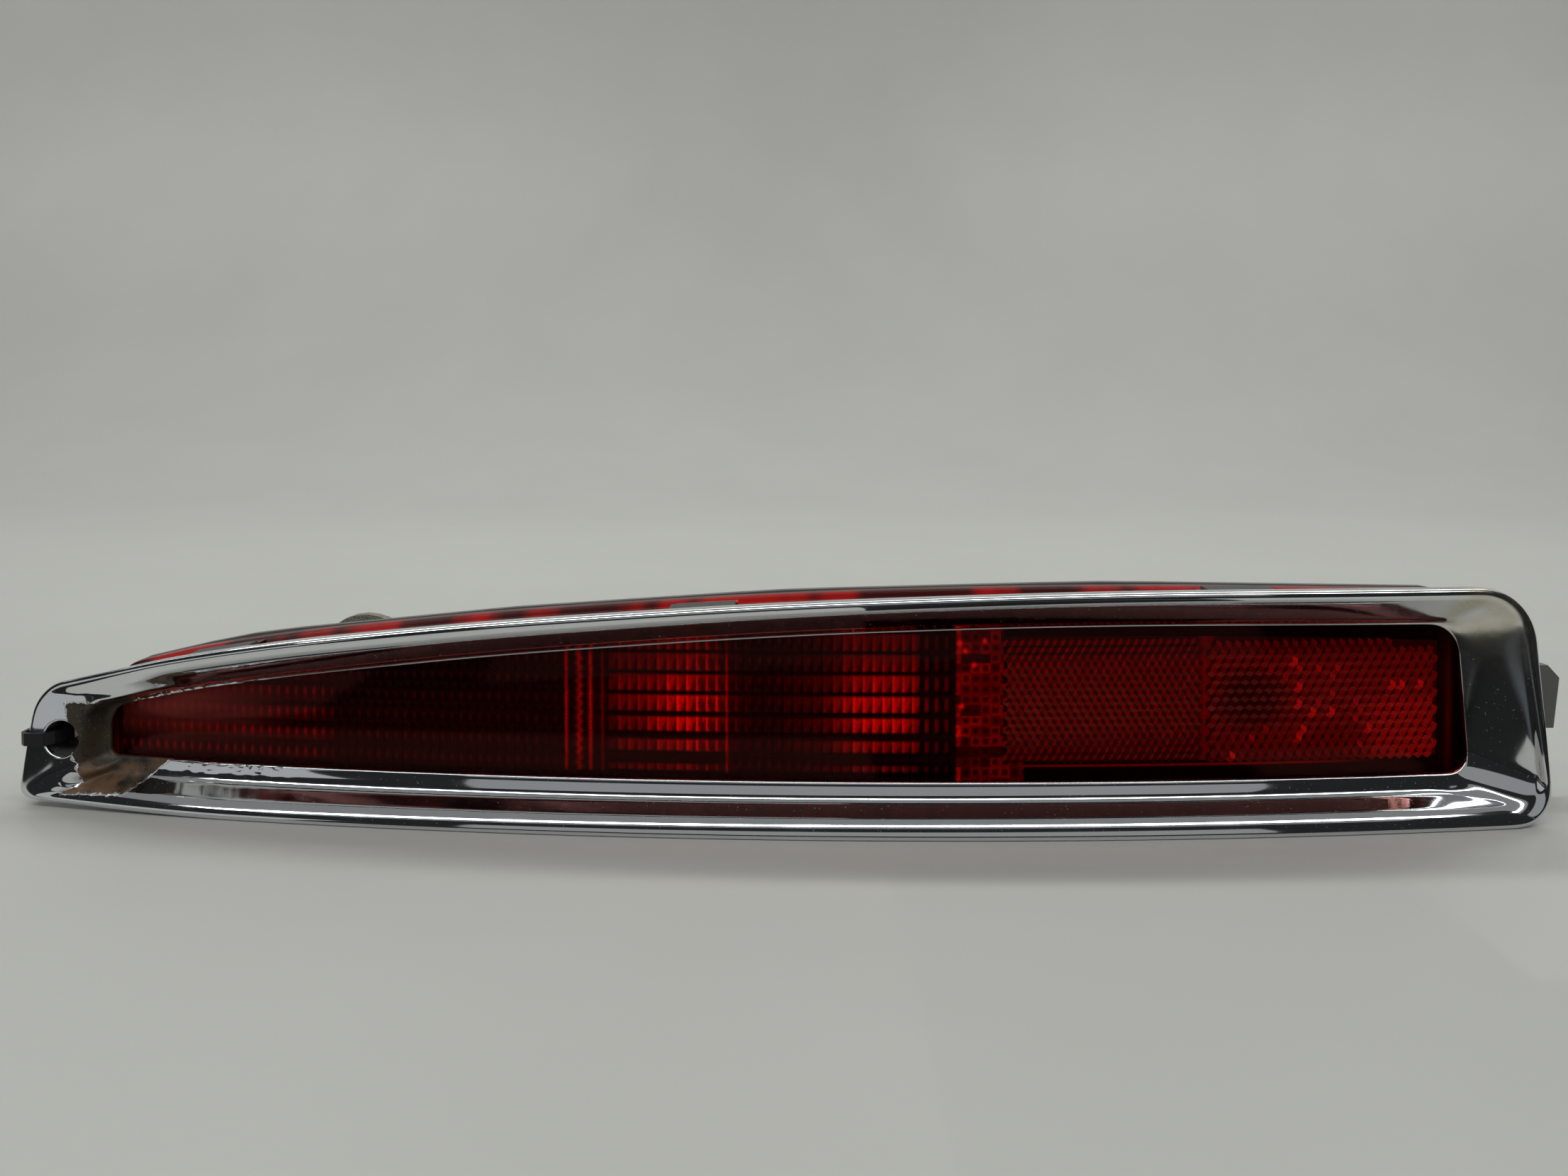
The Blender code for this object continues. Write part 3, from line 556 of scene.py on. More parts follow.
def moulded_paint(name, dark, light, rough, grain, strength, wear=None):
    """Moulded plastic or rubber: cloudy colour, fine grain, and scuffs or dust where wear gives a colour."""
    paint = Paint(name)
    colour = paint.mix(paint.noise(38, 5), dark, light)
    if wear:
        scuffed = paint.band(paint.noise(210, 6, 0.7, stretch=(1, 1, 0.35)), 0.62, 0.78, 0, 0.6)
        colour = paint.mix(scuffed, colour, wear)
    rough = paint.band(paint.noise(150, 4), 0.3, 0.7, *rough)
    paint.set(paint.shader, {"Base Color": colour, "Roughness": rough})
    paint.bump(paint.noise(grain, 4), strength, 0.00015)
    return paint.material


def metal_paint(name, first, second, rough, streak=(1, 1, 1)):
    paint = Paint(name, Metallic=1.0)
    cloud = paint.band(paint.noise(120, 5), 0.35, 0.65)
    rough = paint.band(paint.noise(300, 4, stretch=streak), 0.3, 0.7, *rough)
    paint.set(paint.shader, {"Base Color": paint.mix(cloud, first, second), "Roughness": rough})
    paint.bump(paint.noise(900, 3, stretch=streak), 0.12, 0.0001)
    return paint.material


def foam_paint():
    paint = Paint("olive_foam", Roughness=0.95)
    cells = paint.add("ShaderNodeTexVoronoi", Vector=paint.place, Scale=1100).outputs["Distance"]
    colour = paint.mix(paint.noise(60, 4), (0.21, 0.205, 0.165), (0.34, 0.33, 0.275))
    pitted = paint.mix(paint.band(cells, 0.1, 0.45), (0.1, 0.098, 0.08), colour)
    paint.set(paint.shader, {"Base Color": pitted})
    paint.bump(cells, 0.6, 0.0005)
    return paint.material


CHROME = chrome_paint()
RED_CLEAR = clear_paint(
    "red_acrylic_clear", (0.96, 0.6, 0.56), (1.0, 0.45, 0.42), 1.2, (300, 5), (0.35, 0.75, 0.03, 0.12))
RED_WALL = red_wall_paint()
PILLOWS = optics_paint(
    "red_pillow_optics_painted_glow", (0.012, 0.001, 0.001), (0.9, 0.008, 0.006), (0.56, 0.5, 0.52), 0.2)
CELLS = optics_paint(
    "red_reflex_cells_painted_glow", (0.035, 0.006, 0.005), (0.9, 0.014, 0.01), (0.5, 0.4, 0.4), 0.12)
# Dark and light colour, range of roughness, grain and its strength, and the colour of scuffs or dust
MOULDED = {
    "grey_abs": ((0.118, 0.118, 0.113), (0.165, 0.165, 0.156), (0.42, 0.6), 1300, 0.3, (0.33, 0.32, 0.29)),
    "butyl": ((0.012, 0.012, 0.013), (0.03, 0.03, 0.03), (0.45, 0.8), 500, 0.6),
    "black_nylon": (
        (0.012, 0.012, 0.013), (0.022, 0.022, 0.023), (0.38, 0.55), 1600, 0.25, (0.06, 0.058, 0.052)),
    "black_rubber": ((0.02, 0.02, 0.021), (0.038, 0.037, 0.036), (0.7, 0.95), 700, 0.35, (0.1, 0.095, 0.085)),
    "bulb_base_plastic": ((0.5, 0.5, 0.47), (0.6, 0.6, 0.57), (0.35, 0.5), 900, 0.15),
    "tie_nylon": ((0.008, 0.008, 0.009), (0.018, 0.018, 0.018), (0.3, 0.45), 1200, 0.15),
}
# Two colours, range of roughness, and how the streaks are stretched
METALS = {
    "aluminised_plastic": ((0.82, 0.83, 0.84), (0.9, 0.9, 0.9), (0.05, 0.14)),
    "filament_wire": ((0.28, 0.28, 0.29), (0.4, 0.4, 0.42), (0.3, 0.5)),
    "terminal_brass": ((0.72, 0.52, 0.24), (0.55, 0.38, 0.17), (0.22, 0.45), (1, 1, 0.2)),
    "zinc_steel": ((0.6, 0.6, 0.56), (0.5, 0.48, 0.38), (0.25, 0.5), (1, 0.2, 1)),
}
FINISHES = {name: moulded_paint(name, *values) for name, values in MOULDED.items()}
FINISHES.update({name: metal_paint(name, *values) for name, values in METALS.items()})
FINISHES["olive_foam"] = foam_paint()
FINISHES["bulb_glass"] = clear_paint(
    "bulb_glass", (0.97, 0.975, 0.97), (0.8, 0.8, 0.8), 1.5, (90, 3), (0.3, 0.7, 0.01, 0.05))


# ---------------- bezel
ROLL_RADIUS = 1.6
CREASE_DEPTH_LOW = 3.2
CREASE_DEPTH_TOP = 2.3
BEAD_RADIUS = 0.7
COVE_STATIONS = 24
# Angles from straight back along the cove, as pairs of share of its length and degrees. The lower member is
# steep and turns in to its lip, the upper one is a chamfer with a steeper step before its lip, and the wide
# end is a flat dish.
LOWER_COVE = ((0, 22), (0.52, 26.5), (0.68, 62), (1, 86))
UPPER_COVE = ((0, 47), (0.7, 46), (0.8, 33), (0.95, 33), (1, 60))
END_COVE = ((0, 57), (1, 76))


def cove_profile(turns):
    """Shares of the way in and of the way back at each station along a cove."""
    s = np.linspace(0, 1, COVE_STATIONS)
    angle = np.radians(np.interp(s, *zip(*turns)))
    inward = np.concatenate(((0,), np.cumsum((np.sin(angle[1:]) + np.sin(angle[:-1])) / 2)))
    back = np.concatenate(((0,), np.cumsum((np.cos(angle[1:]) + np.cos(angle[:-1])) / 2)))
    return inward / inward[-1], back / back[-1]


def bezel_rings():
    """Rings of the bezel's front from the skirt to the lip, then of its hidden side back to the skirt."""
    rim, crease, lip = outline(RIM), outline(CREASE), outline(LIP)
    x, z = rim[:, 0], rim[:, 1]
    pad = np.where(z < 6, 1 - ease(-291, -279, x), 1 - ease(-274, -232, x))
    crease_depth = between(between(CREASE_DEPTH_LOW, CREASE_DEPTH_TOP, ease(5, 60, z)), 1.0, pad)
    rings = [ring_at(RIM, 0.5, SKIRT_DEPTH), ring_at(RIM, 0.2, 4.5)]
    for angle in np.radians((0, 18, 36, 54, 72)):
        rings.append(ring_at(RIM, ROLL_RADIUS * (1 - math.cos(angle)), ROLL_RADIUS * (1 - math.sin(angle))))
    crown_line = outline(RIM, ROLL_RADIUS)
    for v in np.linspace(0, 1, 9)[:-1]:
        depth = crease_depth * (0.4 * v + 0.6 * v * v)
        rings.append(behind_crest(between(crown_line, crease, v), depth))
    edge = outline(LIP, -BEAD_RADIUS)
    height = ease(12, 60, crease[:, 1])
    end = ease(248, 268, crease[:, 0])
    lower, upper, dished = (np.array(cove_profile(turns)) for turns in (LOWER_COVE, UPPER_COVE, END_COVE))
    for k in range(COVE_STATIONS):
        u, back = (between(between(lower[i, k], upper[i, k], height), dished[i, k], end) for i in (0, 1))
        dish = 1.0 + 1.5 * u + (LIP_DEPTH - 2.5) * ease(0.52, 1.0, u)
        member = between(crease_depth, LIP_DEPTH, back)
        rings.append(behind_crest(between(crease, edge, u[:, None]), between(member, dish, pad)))
    for angle in np.radians((20, 45, 70, 90)):
        depth = LIP_DEPTH + BEAD_RADIUS * (1 - math.cos(angle))
        rings.append(ring_at(LIP, BEAD_RADIUS * (math.sin(angle) - 1), depth))
    front = len(rings)
    rings += [
        behind_crest(lip, LIP_DEPTH + 1.6),
        behind_crest(between(crease, lip, 0.7), LIP_DEPTH + 1.4),
        behind_crest(between(crease, lip, 0.25), 9.6),
        behind_crest(between(crease, crown_line, 0.15), 5.4),
        ring_at(RIM, 2.3, 3.6),
        ring_at(RIM, 2.3, SKIRT_DEPTH),
    ]
    rings = np.array(rings)
    roll = PAD_ROLL * np.clip((rings[..., 2] - PAD_ROLL_FROM) / PAD_ROLL_SPAN, 0, 1) ** 2
    rings[2:front, :, 1] += (roll * (1 - ease(-272, -236, rings[..., 0])))[2:front]
    rings[4:front - 3] = relax(rings[4:front - 3], 2, False)
    return rings, front


# Where the plating is torn off, as corners (x, z)
TORN = [
    (-272.4, 39.5), (-249.7, 39.7), (-254.6, 34.3), (-255.7, 21.6), (-250.1, 19.1), (-234.1, 18),
    (-246.7, 8.3), (-249.4, 6.6), (-274.2, 5.9), (-266.5, 9.2), (-267.9, 16.9), (-270, 20.3),
    (-268.9, 26.3), (-272.4, 36.3),
]
TORN_SOFT = 5


def wear_field(x, z):
    """Over 0.5 inside the torn place, and less outside, by the distance to its edge."""
    places = np.stack((x, z), 1)
    nearest = np.full(len(x), np.inf)
    inside = np.zeros(len(x), bool)
    corners = np.array(TORN)
    for a, b in zip(corners, np.roll(corners, -1, 0)):
        along = b - a
        share = np.clip((places - a) @ along / (along @ along), 0, 1)
        nearest = np.minimum(nearest, np.linalg.norm(places - a - share[:, None] * along, axis=1))
        if a[1] != b[1]:
            crossing = (a[1] > z) != (b[1] > z)
            inside ^= crossing & (x < a[0] + (z - a[1]) * along[0] / along[1])
    return 0.5 + np.clip(np.where(inside, nearest, -nearest) / TORN_SOFT, -0.5, 0.5)


def crinkle(rings, front):
    """Wrinkles the plating along the lip next to the torn place."""
    normals = ring_normals(rings)
    lip_rings = range(front - 13, front - 1)
    for k in lip_rings:
        near_lip = 1 - abs((k - lip_rings.start) / len(lip_rings) - 0.6) / 0.6
        for i in range(rings.shape[1]):
            x, y, z = rings[k, i]
            if z > 32:
                share = ease(-272, -262, x) * (1 - ease(-205, -186, x))
            else:
                share = 0.7 * ease(-246, -234, x) * (1 - ease(-196, -178, x))
            if share * near_lip > 0.02:
                spot = Vector((x * 0.17, k * 0.3, z * 0.3))
                ridge = max(1 - abs(noise.noise(spot)) * 2.6, 0) ** 3
                size = 0.5 * ridge + 0.14 * noise.noise(spot * 2.9)
                rings[k, i] += normals[k, i] * share * near_lip * size


def ring_normals(rings):
    along = np.roll(rings, -1, 1) - np.roll(rings, 1, 1)
    across = np.roll(rings, -1, 0) - np.roll(rings, 1, 0)
    normals = np.cross(along, across)
    return normals / np.maximum(np.linalg.norm(normals, axis=2, keepdims=True), 1e-9)


def from_hole(face):
    middle = face.calc_center_median()
    return math.hypot(middle.x - NOSE_HOLE[0], middle.z - NOSE_HOLE[1])


def hole_patch(faces, clear):
    """The faces round the nose hole that hang together in one patch."""
    near = {face for face in faces if from_hole(face) < clear}
    fresh = [min(near, key=from_hole)]
    patch = set(fresh)
    while fresh:
        for edge in fresh.pop().edges:
            for other in edge.link_faces:
                if other in near and other not in patch:
                    patch.add(other)
                    fresh.append(other)
    return patch


def row_round(edges):
    """The points along a closed row of edges, anticlockwise as seen from the front."""
    start = min(edges, key=lambda edge: edge.verts[0].co.x)
    left = set(edges) - {start}
    row = list(start.verts)
    while left:
        edge = next(e for e in row[-1].link_edges if e in left)
        left.remove(edge)
        row.append(edge.other_vert(row[-1]))
    row.pop()
    area = sum(cross((a.co.x, a.co.z), (b.co.x, b.co.z)) for a, b in zip(row, row[1:] + row[:1]))
    return row if area > 0 else row[::-1]


def open_hole(bm, tree, faces, clear, radius, from_front):
    """Clears faces round the nose hole, and leads the surface to a circle. Returns the circle's points."""
    x, z = NOSE_HOLE
    gone = hole_patch(faces, clear)
    rim = {e for f in gone for e in f.edges if not all(g in gone for g in e.link_faces)}
    around = row_round(rim)
    bmesh.ops.delete(bm, geom=list(gone), context="FACES")
    start, ahead = (-500, 1) if from_front else (500, -1)
    last = around
    for share in (0.3, 0.6, 0.85, 1.0):
        ring = []
        for vert in around:
            angle = math.atan2(vert.co.z - z, vert.co.x - x)
            goal = Vector((x + radius * math.cos(angle), 0, z + radius * math.sin(angle)))
            spot = vert.co.lerp(goal, share)
            hit = tree.ray_cast(Vector((spot.x, start, spot.z)), Vector((0, ahead, 0)))[0]
            ring.append(bm.verts.new(hit if hit else spot))
        join_rings(bm, last, ring)
        last = ring
    return last


def join_rings(bm, first, second):
    count = len(first)
    for i in range(count):
        j = (i + 1) % count
        bm.faces.new((first[i], first[j], second[j], second[i]))


def step_ring(bm, ring, radius, depth=None, further=0):
    """The next ring of a round bore or boss at the nose hole, at a depth or further back than the last."""
    x, z = NOSE_HOLE
    made = []
    for vert in ring:
        angle = math.atan2(vert.co.z - z, vert.co.x - x)
        y = vert.co.y + further if depth is None else depth
        made.append(bm.verts.new((x + radius * math.cos(angle), y, z + radius * math.sin(angle))))
    join_rings(bm, ring, made)
    return made


def ring_edges(bm, ring):
    return [bm.edges.get(pair) for pair in zip(ring[-1:] + ring[:-1], ring)]


def push_out(bm, faces, step):
    """Raises a patch of faces by a step, with sides round it."""
    made = bmesh.ops.extrude_face_region(bm, geom=faces)
    for part in made["geom"]:
        if isinstance(part, bmesh.types.BMVert):
            part.co += Vector(step)
    bmesh.ops.delete(bm, geom=[f for f in faces if f.is_valid], context="FACES")


# Rings of the nose hole, as radius and how far back from the ring before, at its rounded mouth
MOUTH = ((6.95, 0.12), (6.65, 0.45), (6.6, 1.2))
# Rings of its bore, and of the boss round it, as radius and depth behind the crest
BORE = ((6.6, 12.9), (6.0, 13.5), (4.3, 13.5), (4.0, 13.8), (4.0, 16.7), (4.3, 17))
BOSS = ((8.7, 16.6), (8.3, 17))
# The radius that is cleared of faces round the nose hole, and the circle that the surface is led to
FRONT_HOLE = (9.5, 7.3)
BACK_HOLE = (10.5, 8.7)
# Faces this near to the hole's axis, and further back than the mouth, are inside the bore and get painted
# shade as dark, dull plastic.
BORE_REACH = 6.75
MOUTH_DEPTH = 1.8
NOSE_REACH = 16
TONGUE_LENGTH = 8.4


def at_nose(faces):
    return [f for f in faces if f.calc_center_median().x < NOSE_HOLE[0] + NOSE_REACH]


def make_bore(bm, mouth, back):
    """The bore from the front's circle to the back's, with a seat for the screw's head."""
    y = crest(*NOSE_HOLE)
    for radius, further in MOUTH:
        mouth = step_ring(bm, mouth, radius, further=further)
    for radius, depth in BORE:
        mouth = step_ring(bm, mouth, radius, y + depth)
    for radius, depth in BOSS:
        back = step_ring(bm, back, radius, y + depth)
    bmesh.ops.bridge_loops(bm, edges=ring_edges(bm, back) + ring_edges(bm, mouth))


def make_bezel():
    rings, front = bezel_rings()
    count = rings.shape[1]
    crinkle(rings, front)
    bm = bmesh.new()
    verts = [bm.verts.new(p) for p in rings.reshape(-1, 3)]
    faces = [bm.faces.new([verts[i] for i in face]) for face in torus_faces(len(rings), count)]
    bm.normal_update()
    tree = BVHTree.FromBMesh(bm)
    front_faces, back_faces = at_nose(faces[:(front - 1) * count]), at_nose(faces[front * count:])
    tongues = clip_runs(faces[(len(rings) - 1) * count:])
    mouth = open_hole(bm, tree, front_faces, *FRONT_HOLE, True)
    back = open_hole(bm, tree, back_faces, *BACK_HOLE, False)
    make_bore(bm, mouth, back)
    for run, _ in tongues:
        push_out(bm, run, (0, TONGUE_LENGTH, 0))
    mesh = mesh_from_bmesh("bezel_chrome", bm)
    x, y, z = lamp_points(mesh).T
    store(mesh, "wear", wear_field(x, z))
    store(mesh, "tarnish", ease(205, 250, x) * ease(46, 72, z))
    x, y, z = face_middles(mesh).T
    depth = y - crest(x, z)
    # Inside the bore the faces are painted dark as shade; the tongues are truly unplated.
    painted_shade_in_bore = (np.hypot(x - NOSE_HOLE[0], z - NOSE_HOLE[1]) < BORE_REACH) & (depth > MOUTH_DEPTH)
    store(mesh, "bare_and_painted_shade", on_tongue(x, z, depth) | painted_shade_in_bore, "FACE")
    finish_piece(mesh, [CHROME], replaced="bezel", sharp=50)


def on_tongue(x, z, depth):
    """The bezel's tongues were masked and stayed unplated."""
    near = np.min([np.abs(x - clip) for clip in CLIP_X], axis=0) < CLIP_WIDTH / 2 + 1
    top = np.interp(x, [c[0] for c in RIM[1:7]], [c[1] for c in RIM[1:7]])
    return near & (depth > SKIRT_DEPTH + 0.2) & ((z < 4) | (z > top - 5))


def clip_runs(faces):
    """The faces at each clip, in pairs of a run of faces and whether it is on the top side."""
    runs = []
    for x in CLIP_X:
        for top in (True, False):
            run = []
            for face in faces:
                middle = face.calc_center_median()
                if abs(middle.x - x) < CLIP_WIDTH / 2 and (middle.z > MIDDLE_HEIGHT) == top:
                    run.append(face)
            runs.append((run, top))
    return runs


# ---------------- lens
SKIN = 1.5
# The side wall's flat stretch, as depths behind the crest
WALL_FRONT = 17.6
WALL_FOOT = 23.2
# How far the catches for the tongues rise from it, at the top and at the foot
CATCH_TOP = 1.7
CATCH_FOOT = -1.5
# The side wall from its foot forward, as inset of the outline and depth
LENS_WALL = (
    (-2, LENS_FOOT_DEPTH), (-2, 26), (-1.7, 25), (-0.4, 24), (0, WALL_FOOT), (0, WALL_FRONT), (0.4, 16.3),
    (1.5, 15.4), (2.8, 15.1),
)


def swell(ring_low, ring_high, x, z):
    """How far the lens's front stands forward of its edge."""
    low, high = span_at(ring_low, ring_high, x)
    share = np.clip((z - low) / np.maximum(high - low, 1), 0, 1)
    ends = ease(ring_low[0, 0], ring_low[0, 0] + 40, x) * (1 - ease(ring_low[-1, 0] - 40, ring_low[-1, 0], x))
    return LENS_CROWN * 4 * share * (1 - share) * ends


def low_and_high(points):
    """The bottom and the top edge of an outline, each as a row that runs to the wide end."""
    split, turn = side_middle(0), side_middle(6)
    low = np.concatenate((points[turn:], points[:split]))[::-1]
    return low, points[split:turn]


def span_at(low, high, x):
    return np.interp(x, low[:, 0], low[:, 1]), np.interp(x, high[:, 0], high[:, 1])


def fill_outline(points, spacing):
    """Triangles over an outline with a grid of points inside it."""
    low, high = low_and_high(points)
    flat = [Vector(p) for p in points]
    for x in np.arange(points[:, 0].min() + spacing, points[:, 0].max() - spacing / 2, spacing):
        bottom, top = span_at(low, high, x)
        bottom, top = bottom + spacing * 0.6, top - spacing * 0.6
        steps = max(int((top - bottom) / spacing), 1)
        flat += [Vector((x, z)) for z in np.linspace(bottom, top, steps + 1)]
    count = len(points)
    edges = [(i, (i + 1) % count) for i in range(count)]
    made = delaunay_2d_cdt(flat, edges, [], 1, 1e-6)
    return np.array([tuple(p) for p in made[0]]), [tuple(f) for f in made[2]]


def make_lens():
    wall, edge, inner = outline(LENS_SIDE), outline(LIP, -0.5), outline(LENS_SIDE, 3)
    back = LENS_EDGE_DEPTH + SKIN
    outer_rings = [ring_at(LENS_SIDE, inset, depth) for inset, depth in LENS_WALL]
    outer_rings += [behind_crest(between(wall, edge, 0.6), 15), behind_crest(edge, LENS_EDGE_DEPTH)]
    inner_rings = [
        behind_crest(inner, LENS_FOOT_DEPTH), behind_crest(inner, back + 1.6),
        behind_crest(between(inner, edge, 0.6), back), behind_crest(edge, back),
    ]
    rows = outer_rings[::-1] + inner_rings
    count = len(edge)
    faces = torus_faces(len(rows), count)[: (len(rows) - 1) * count]
    flat, triangles = fill_outline(edge, 5)
    forward = swell(*low_and_high(edge), flat[:, 0], flat[:, 1])
    bm = bmesh.new()
    verts = [bm.verts.new(p) for p in np.concatenate(rows)]
    for index, face in enumerate(faces):
        bm.faces.new([verts[i] for i in face]).material_index = 0 if index < count else 1
    for depth in (LENS_EDGE_DEPTH, back):
        sheet = behind_crest(flat, depth)
        sheet[:, 1] -= forward
        fresh = [bm.verts.new(p) for p in sheet]
        for triangle in triangles:
            bm.faces.new([fresh[i] for i in triangle]).material_index = 0
    bmesh.ops.remove_doubles(bm, verts=bm.verts, dist=0.02)
    add_catches(bm)
    mesh = mesh_from_bmesh("lens_shell", bm)
    x, y, z = lamp_points(mesh).T
    # On the side walls this marks the rear part that gets a painted reflection.
    store(mesh, "haze", ease(26, 29.5, y - crest(x, z)))
    finish_piece(mesh, [RED_CLEAR, RED_WALL], replaced="lens", sharp=40)


def on_flat_wall(face):
    x, y, z = face.calc_center_median()
    on_wall = face.material_index == 1 and len(face.verts) == 4
    return on_wall and WALL_FRONT < y - crest(x, z) < WALL_FOOT


def add_catches(bm):
    """Raised blocks on the wall that the bezel's tongues snap against."""
    for run, top in clip_runs([f for f in bm.faces if on_flat_wall(f)]):
        outer = [f for f in run if abs(f.normal.z) > 0.9 and is_outermost(f, run)]
        if outer:
            push_out(bm, outer, (0, 0, CATCH_TOP if top else CATCH_FOOT))


def is_outermost(face, others):
    middle = face.calc_center_median()
    side = 1 if middle.z > MIDDLE_HEIGHT else -1
    return all(side * (o.calc_center_median().z - middle.z) < 1.5 for o in others
               if abs(o.calc_center_median().x - middle.x) < 3)


# ---------------- optics
OPTICS_DEPTH = 19.0
PLATE = 1.4
COLUMN_PITCH = 3.6
ROW_PITCH = 7.55
ROW_START = 16.6
STEP_X = COLUMN_PITCH / 9
STEP_Z = ROW_PITCH / 15
# Upright bars on both sides of the first lit bowl, raised in the optics and carrying painted highlights: x,
# half width and strength
BARS = ((-80.6, 0.55, 0.75), (-75.8, 0.9, 0.6), (-71.6, 0.65, 0.7), (-67.1, 0.5, 0.3), (-21.0, 0.4, 0.45))
# The faceted band's left and right edge, and how far right its foot reaches below a height
BAND = (62.6, 80.4)
BAND_FOOT = (88.0, 26.0)
# Small painted highlights in the band
PAINTED_SPARKS = ((64.4, 65.6), (66.3, 62.8), (65.0, 42.5), (69.5, 57.5), (73.4, 66.2))


def cell_random(i, k, seed):
    """A fixed number from 0 to 1 for each cell of a field."""
    return np.modf(np.abs(np.sin(np.floor(i) * 12.9898 + np.floor(k) * 78.233 + seed) * 43758.5453))[0]


def in_band(x, z):
    reach = np.where(z < BAND_FOOT[1], BAND_FOOT[0], BAND[1])
    return (x > BAND[0]) & (x < reach)


def pillow_height(x, z):
    """Height of the optics towards the front, over the plate, in millimetres."""
    across = (x / COLUMN_PITCH) % 1
    up = ((z - ROW_START) / ROW_PITCH) % 1
    column = 1 - (2 * across - 1) ** 2
    row = 1 - np.abs(2 * up - 1) ** 3
    pillow = 0.42 * column + 0.75 * row
    for bar, half, strength in BARS:
        pillow += 0.5 * np.exp(-((x - bar) / half) ** 2)
    tilt = cell_random(x / COLUMN_PITCH, z / (ROW_PITCH / 2), 3) - 0.5
    facet = 0.5 + 0.5 * column * tilt + 0.35 * tilt
    plain = (x > BAND[1] + 2) & ~in_band(x, z)
    return np.where(plain, 0, np.where(in_band(x, z), facet, pillow))


def bump_at(value, place, width, power=2):
    return np.exp(-np.abs((value - place) / width) ** power)


def painted_glow_at(x, z):
    """Painted light of the optics, standing in for the bowls behind: three lit places, dark gaps and a
    faceted band.
    """
    column, row = x / COLUMN_PITCH, (z - ROW_START) / ROW_PITCH
    across, up = column % 1, row % 1
    chance = 0.75 + 0.5 * cell_random(column, row, 5)

    # Every row is lit over less of its height the lower it stands.
    gap = np.interp(z, (20, 26, 34, 42, 60), (0.62, 0.42, 0.24, 0.12, 0.08))
    row_lit = ease(0, 0.12, up - gap * 0.35) * ease(0, 0.12, 1 - gap * 0.65 - up)
    shade = ease(0.1, 0.6, (across - 0.45) * 1.1 + (0.55 - up) * 0.9)
    edged = (0.75 + 0.6 * bump_at(across, 0.1, 0.14)) * ease(0.0, 0.06, 1 - across)
    filled = row_lit * (1 - 0.75 * shade) * edged
    eye = ease(0.5, 1.0, ((across - 0.5) / 0.3) ** 2 + ((up - 0.5) / 0.36) ** 2)
    narrow = row_lit * bump_at(across, 0.5, 0.2, 4) * bump_at(up, 0.5, 0.33, 4)
    dots = bump_at(across, 0.5, 0.16) * bump_at(up, 0.62, 0.16)

    middle = 0.35 + 0.75 * bump_at(z, 40, 15)
    left_end = ease(-256, -246, x) * (1 - ease(-179, -168, x)) * (0.5 + 0.5 * ease(-240, -190, x))
    faint = (1 - ease(-178, -166, x)) + bump_at(x, -124, 44, 8) * 0.22 + bump_at(x, 0, 19, 8) * 0.3
    first_bowl = bump_at(x, -34.5, 12.5, 4) + 0.16 * bump_at(x, -40, 26, 4)
    second_bowl = (bump_at(x, 35, 15, 4) + 0.3 * bump_at(x, 40, 36, 4)) * (1 - ease(60.4, 61.4, x))
    dim = 0.2 * ease(-66, -60, x) * (1 - ease(-50, -44, x))

    level = 0.09 * left_end * (0.4 * row_lit + 0.6 * narrow) * (0.45 + 0.55 * bump_at(z, 33, 12))
    level += faint * dots * 0.25
    level += dim * filled
    level += 0.76 * first_bowl * filled * middle * np.where(x > -33.5, 0.35 + 0.65 * eye, 1)
    level += 0.6 * second_bowl * np.where(x > 49.5, narrow, filled) * middle
    upright = ease(17.5, 19, z) * (1 - ease(60, 63, z)) * (0.6 + 0.4 * np.sin(z * 2.5) ** 2)
    for bar, half, strength in BARS:
        wave = 0.35 * np.sin(z * 1.9 + bar) * (half > 0.8)
        level += strength * bump_at(x + wave, bar, half) * upright
    level = level * chance

    # The faceted band beside the reflex field, painted as dark eyes with bright edges in small cells.
    half_row = (z - ROW_START) / (ROW_PITCH / 2)
    facet = cell_random(column, half_row, 11)
    ring = 1 - bump_at(across, 0.5, 0.32, 4) * bump_at(half_row % 1, 0.5, 0.3, 4)
    faceted = 0.05 + 0.42 * ring * facet ** 1.5 + 0.6 * bump_at(x, BAND[0] + 1.2, 0.8, 4) * facet
    for px, pz in PAINTED_SPARKS:
        faceted += 1.2 * bump_at(x, px, 0.8) * bump_at(z, pz, 0.9)
    faceted *= ease(BAND[0], BAND[0] + 0.5, x)
    level = np.where(in_band(x, z), faceted, level)

    # Beside the band the painted light is only a bright line under the reflex field, and a faint one at the
    # wide end.
    beside = (x > BAND[1] + 1) & ~in_band(x, z)
    under_field = 0.5 * bump_at(z, 20.6, 0.35) * (1 - ease(190, 225, x))
    line = under_field + 0.12 * bump_at(x, 249, 1.2) * bump_at(z, 40, 25)
    return np.clip(np.where(beside, line, level), 0, 1.3)


def haze_at(x, z):
    """Frosting at the narrow end, and a little at the wide end."""
    cloud = np.array([0.6 + 0.5 * noise.noise(Vector((a * 0.03, 0, b * 0.07))) for a, b in zip(x, z)])
    narrow = 0.95 * (1 - ease(-240, -185, x)) * ease(19, 38, z) * (0.7 + 0.3 * bump_at(z, 40, 8))
    wide = 0.16 * ease(243, 249, x) * bump_at(z, 62, 12)
    return np.clip(cloud * (narrow + wide), 0, 1)


def join_columns(bm, columns):
    """Faces between neighbouring columns of points."""
    for a, b in zip(columns, columns[1:]):
        for k in range(len(a) - 1):
            bm.faces.new((a[k], b[k], b[k + 1], a[k + 1]))


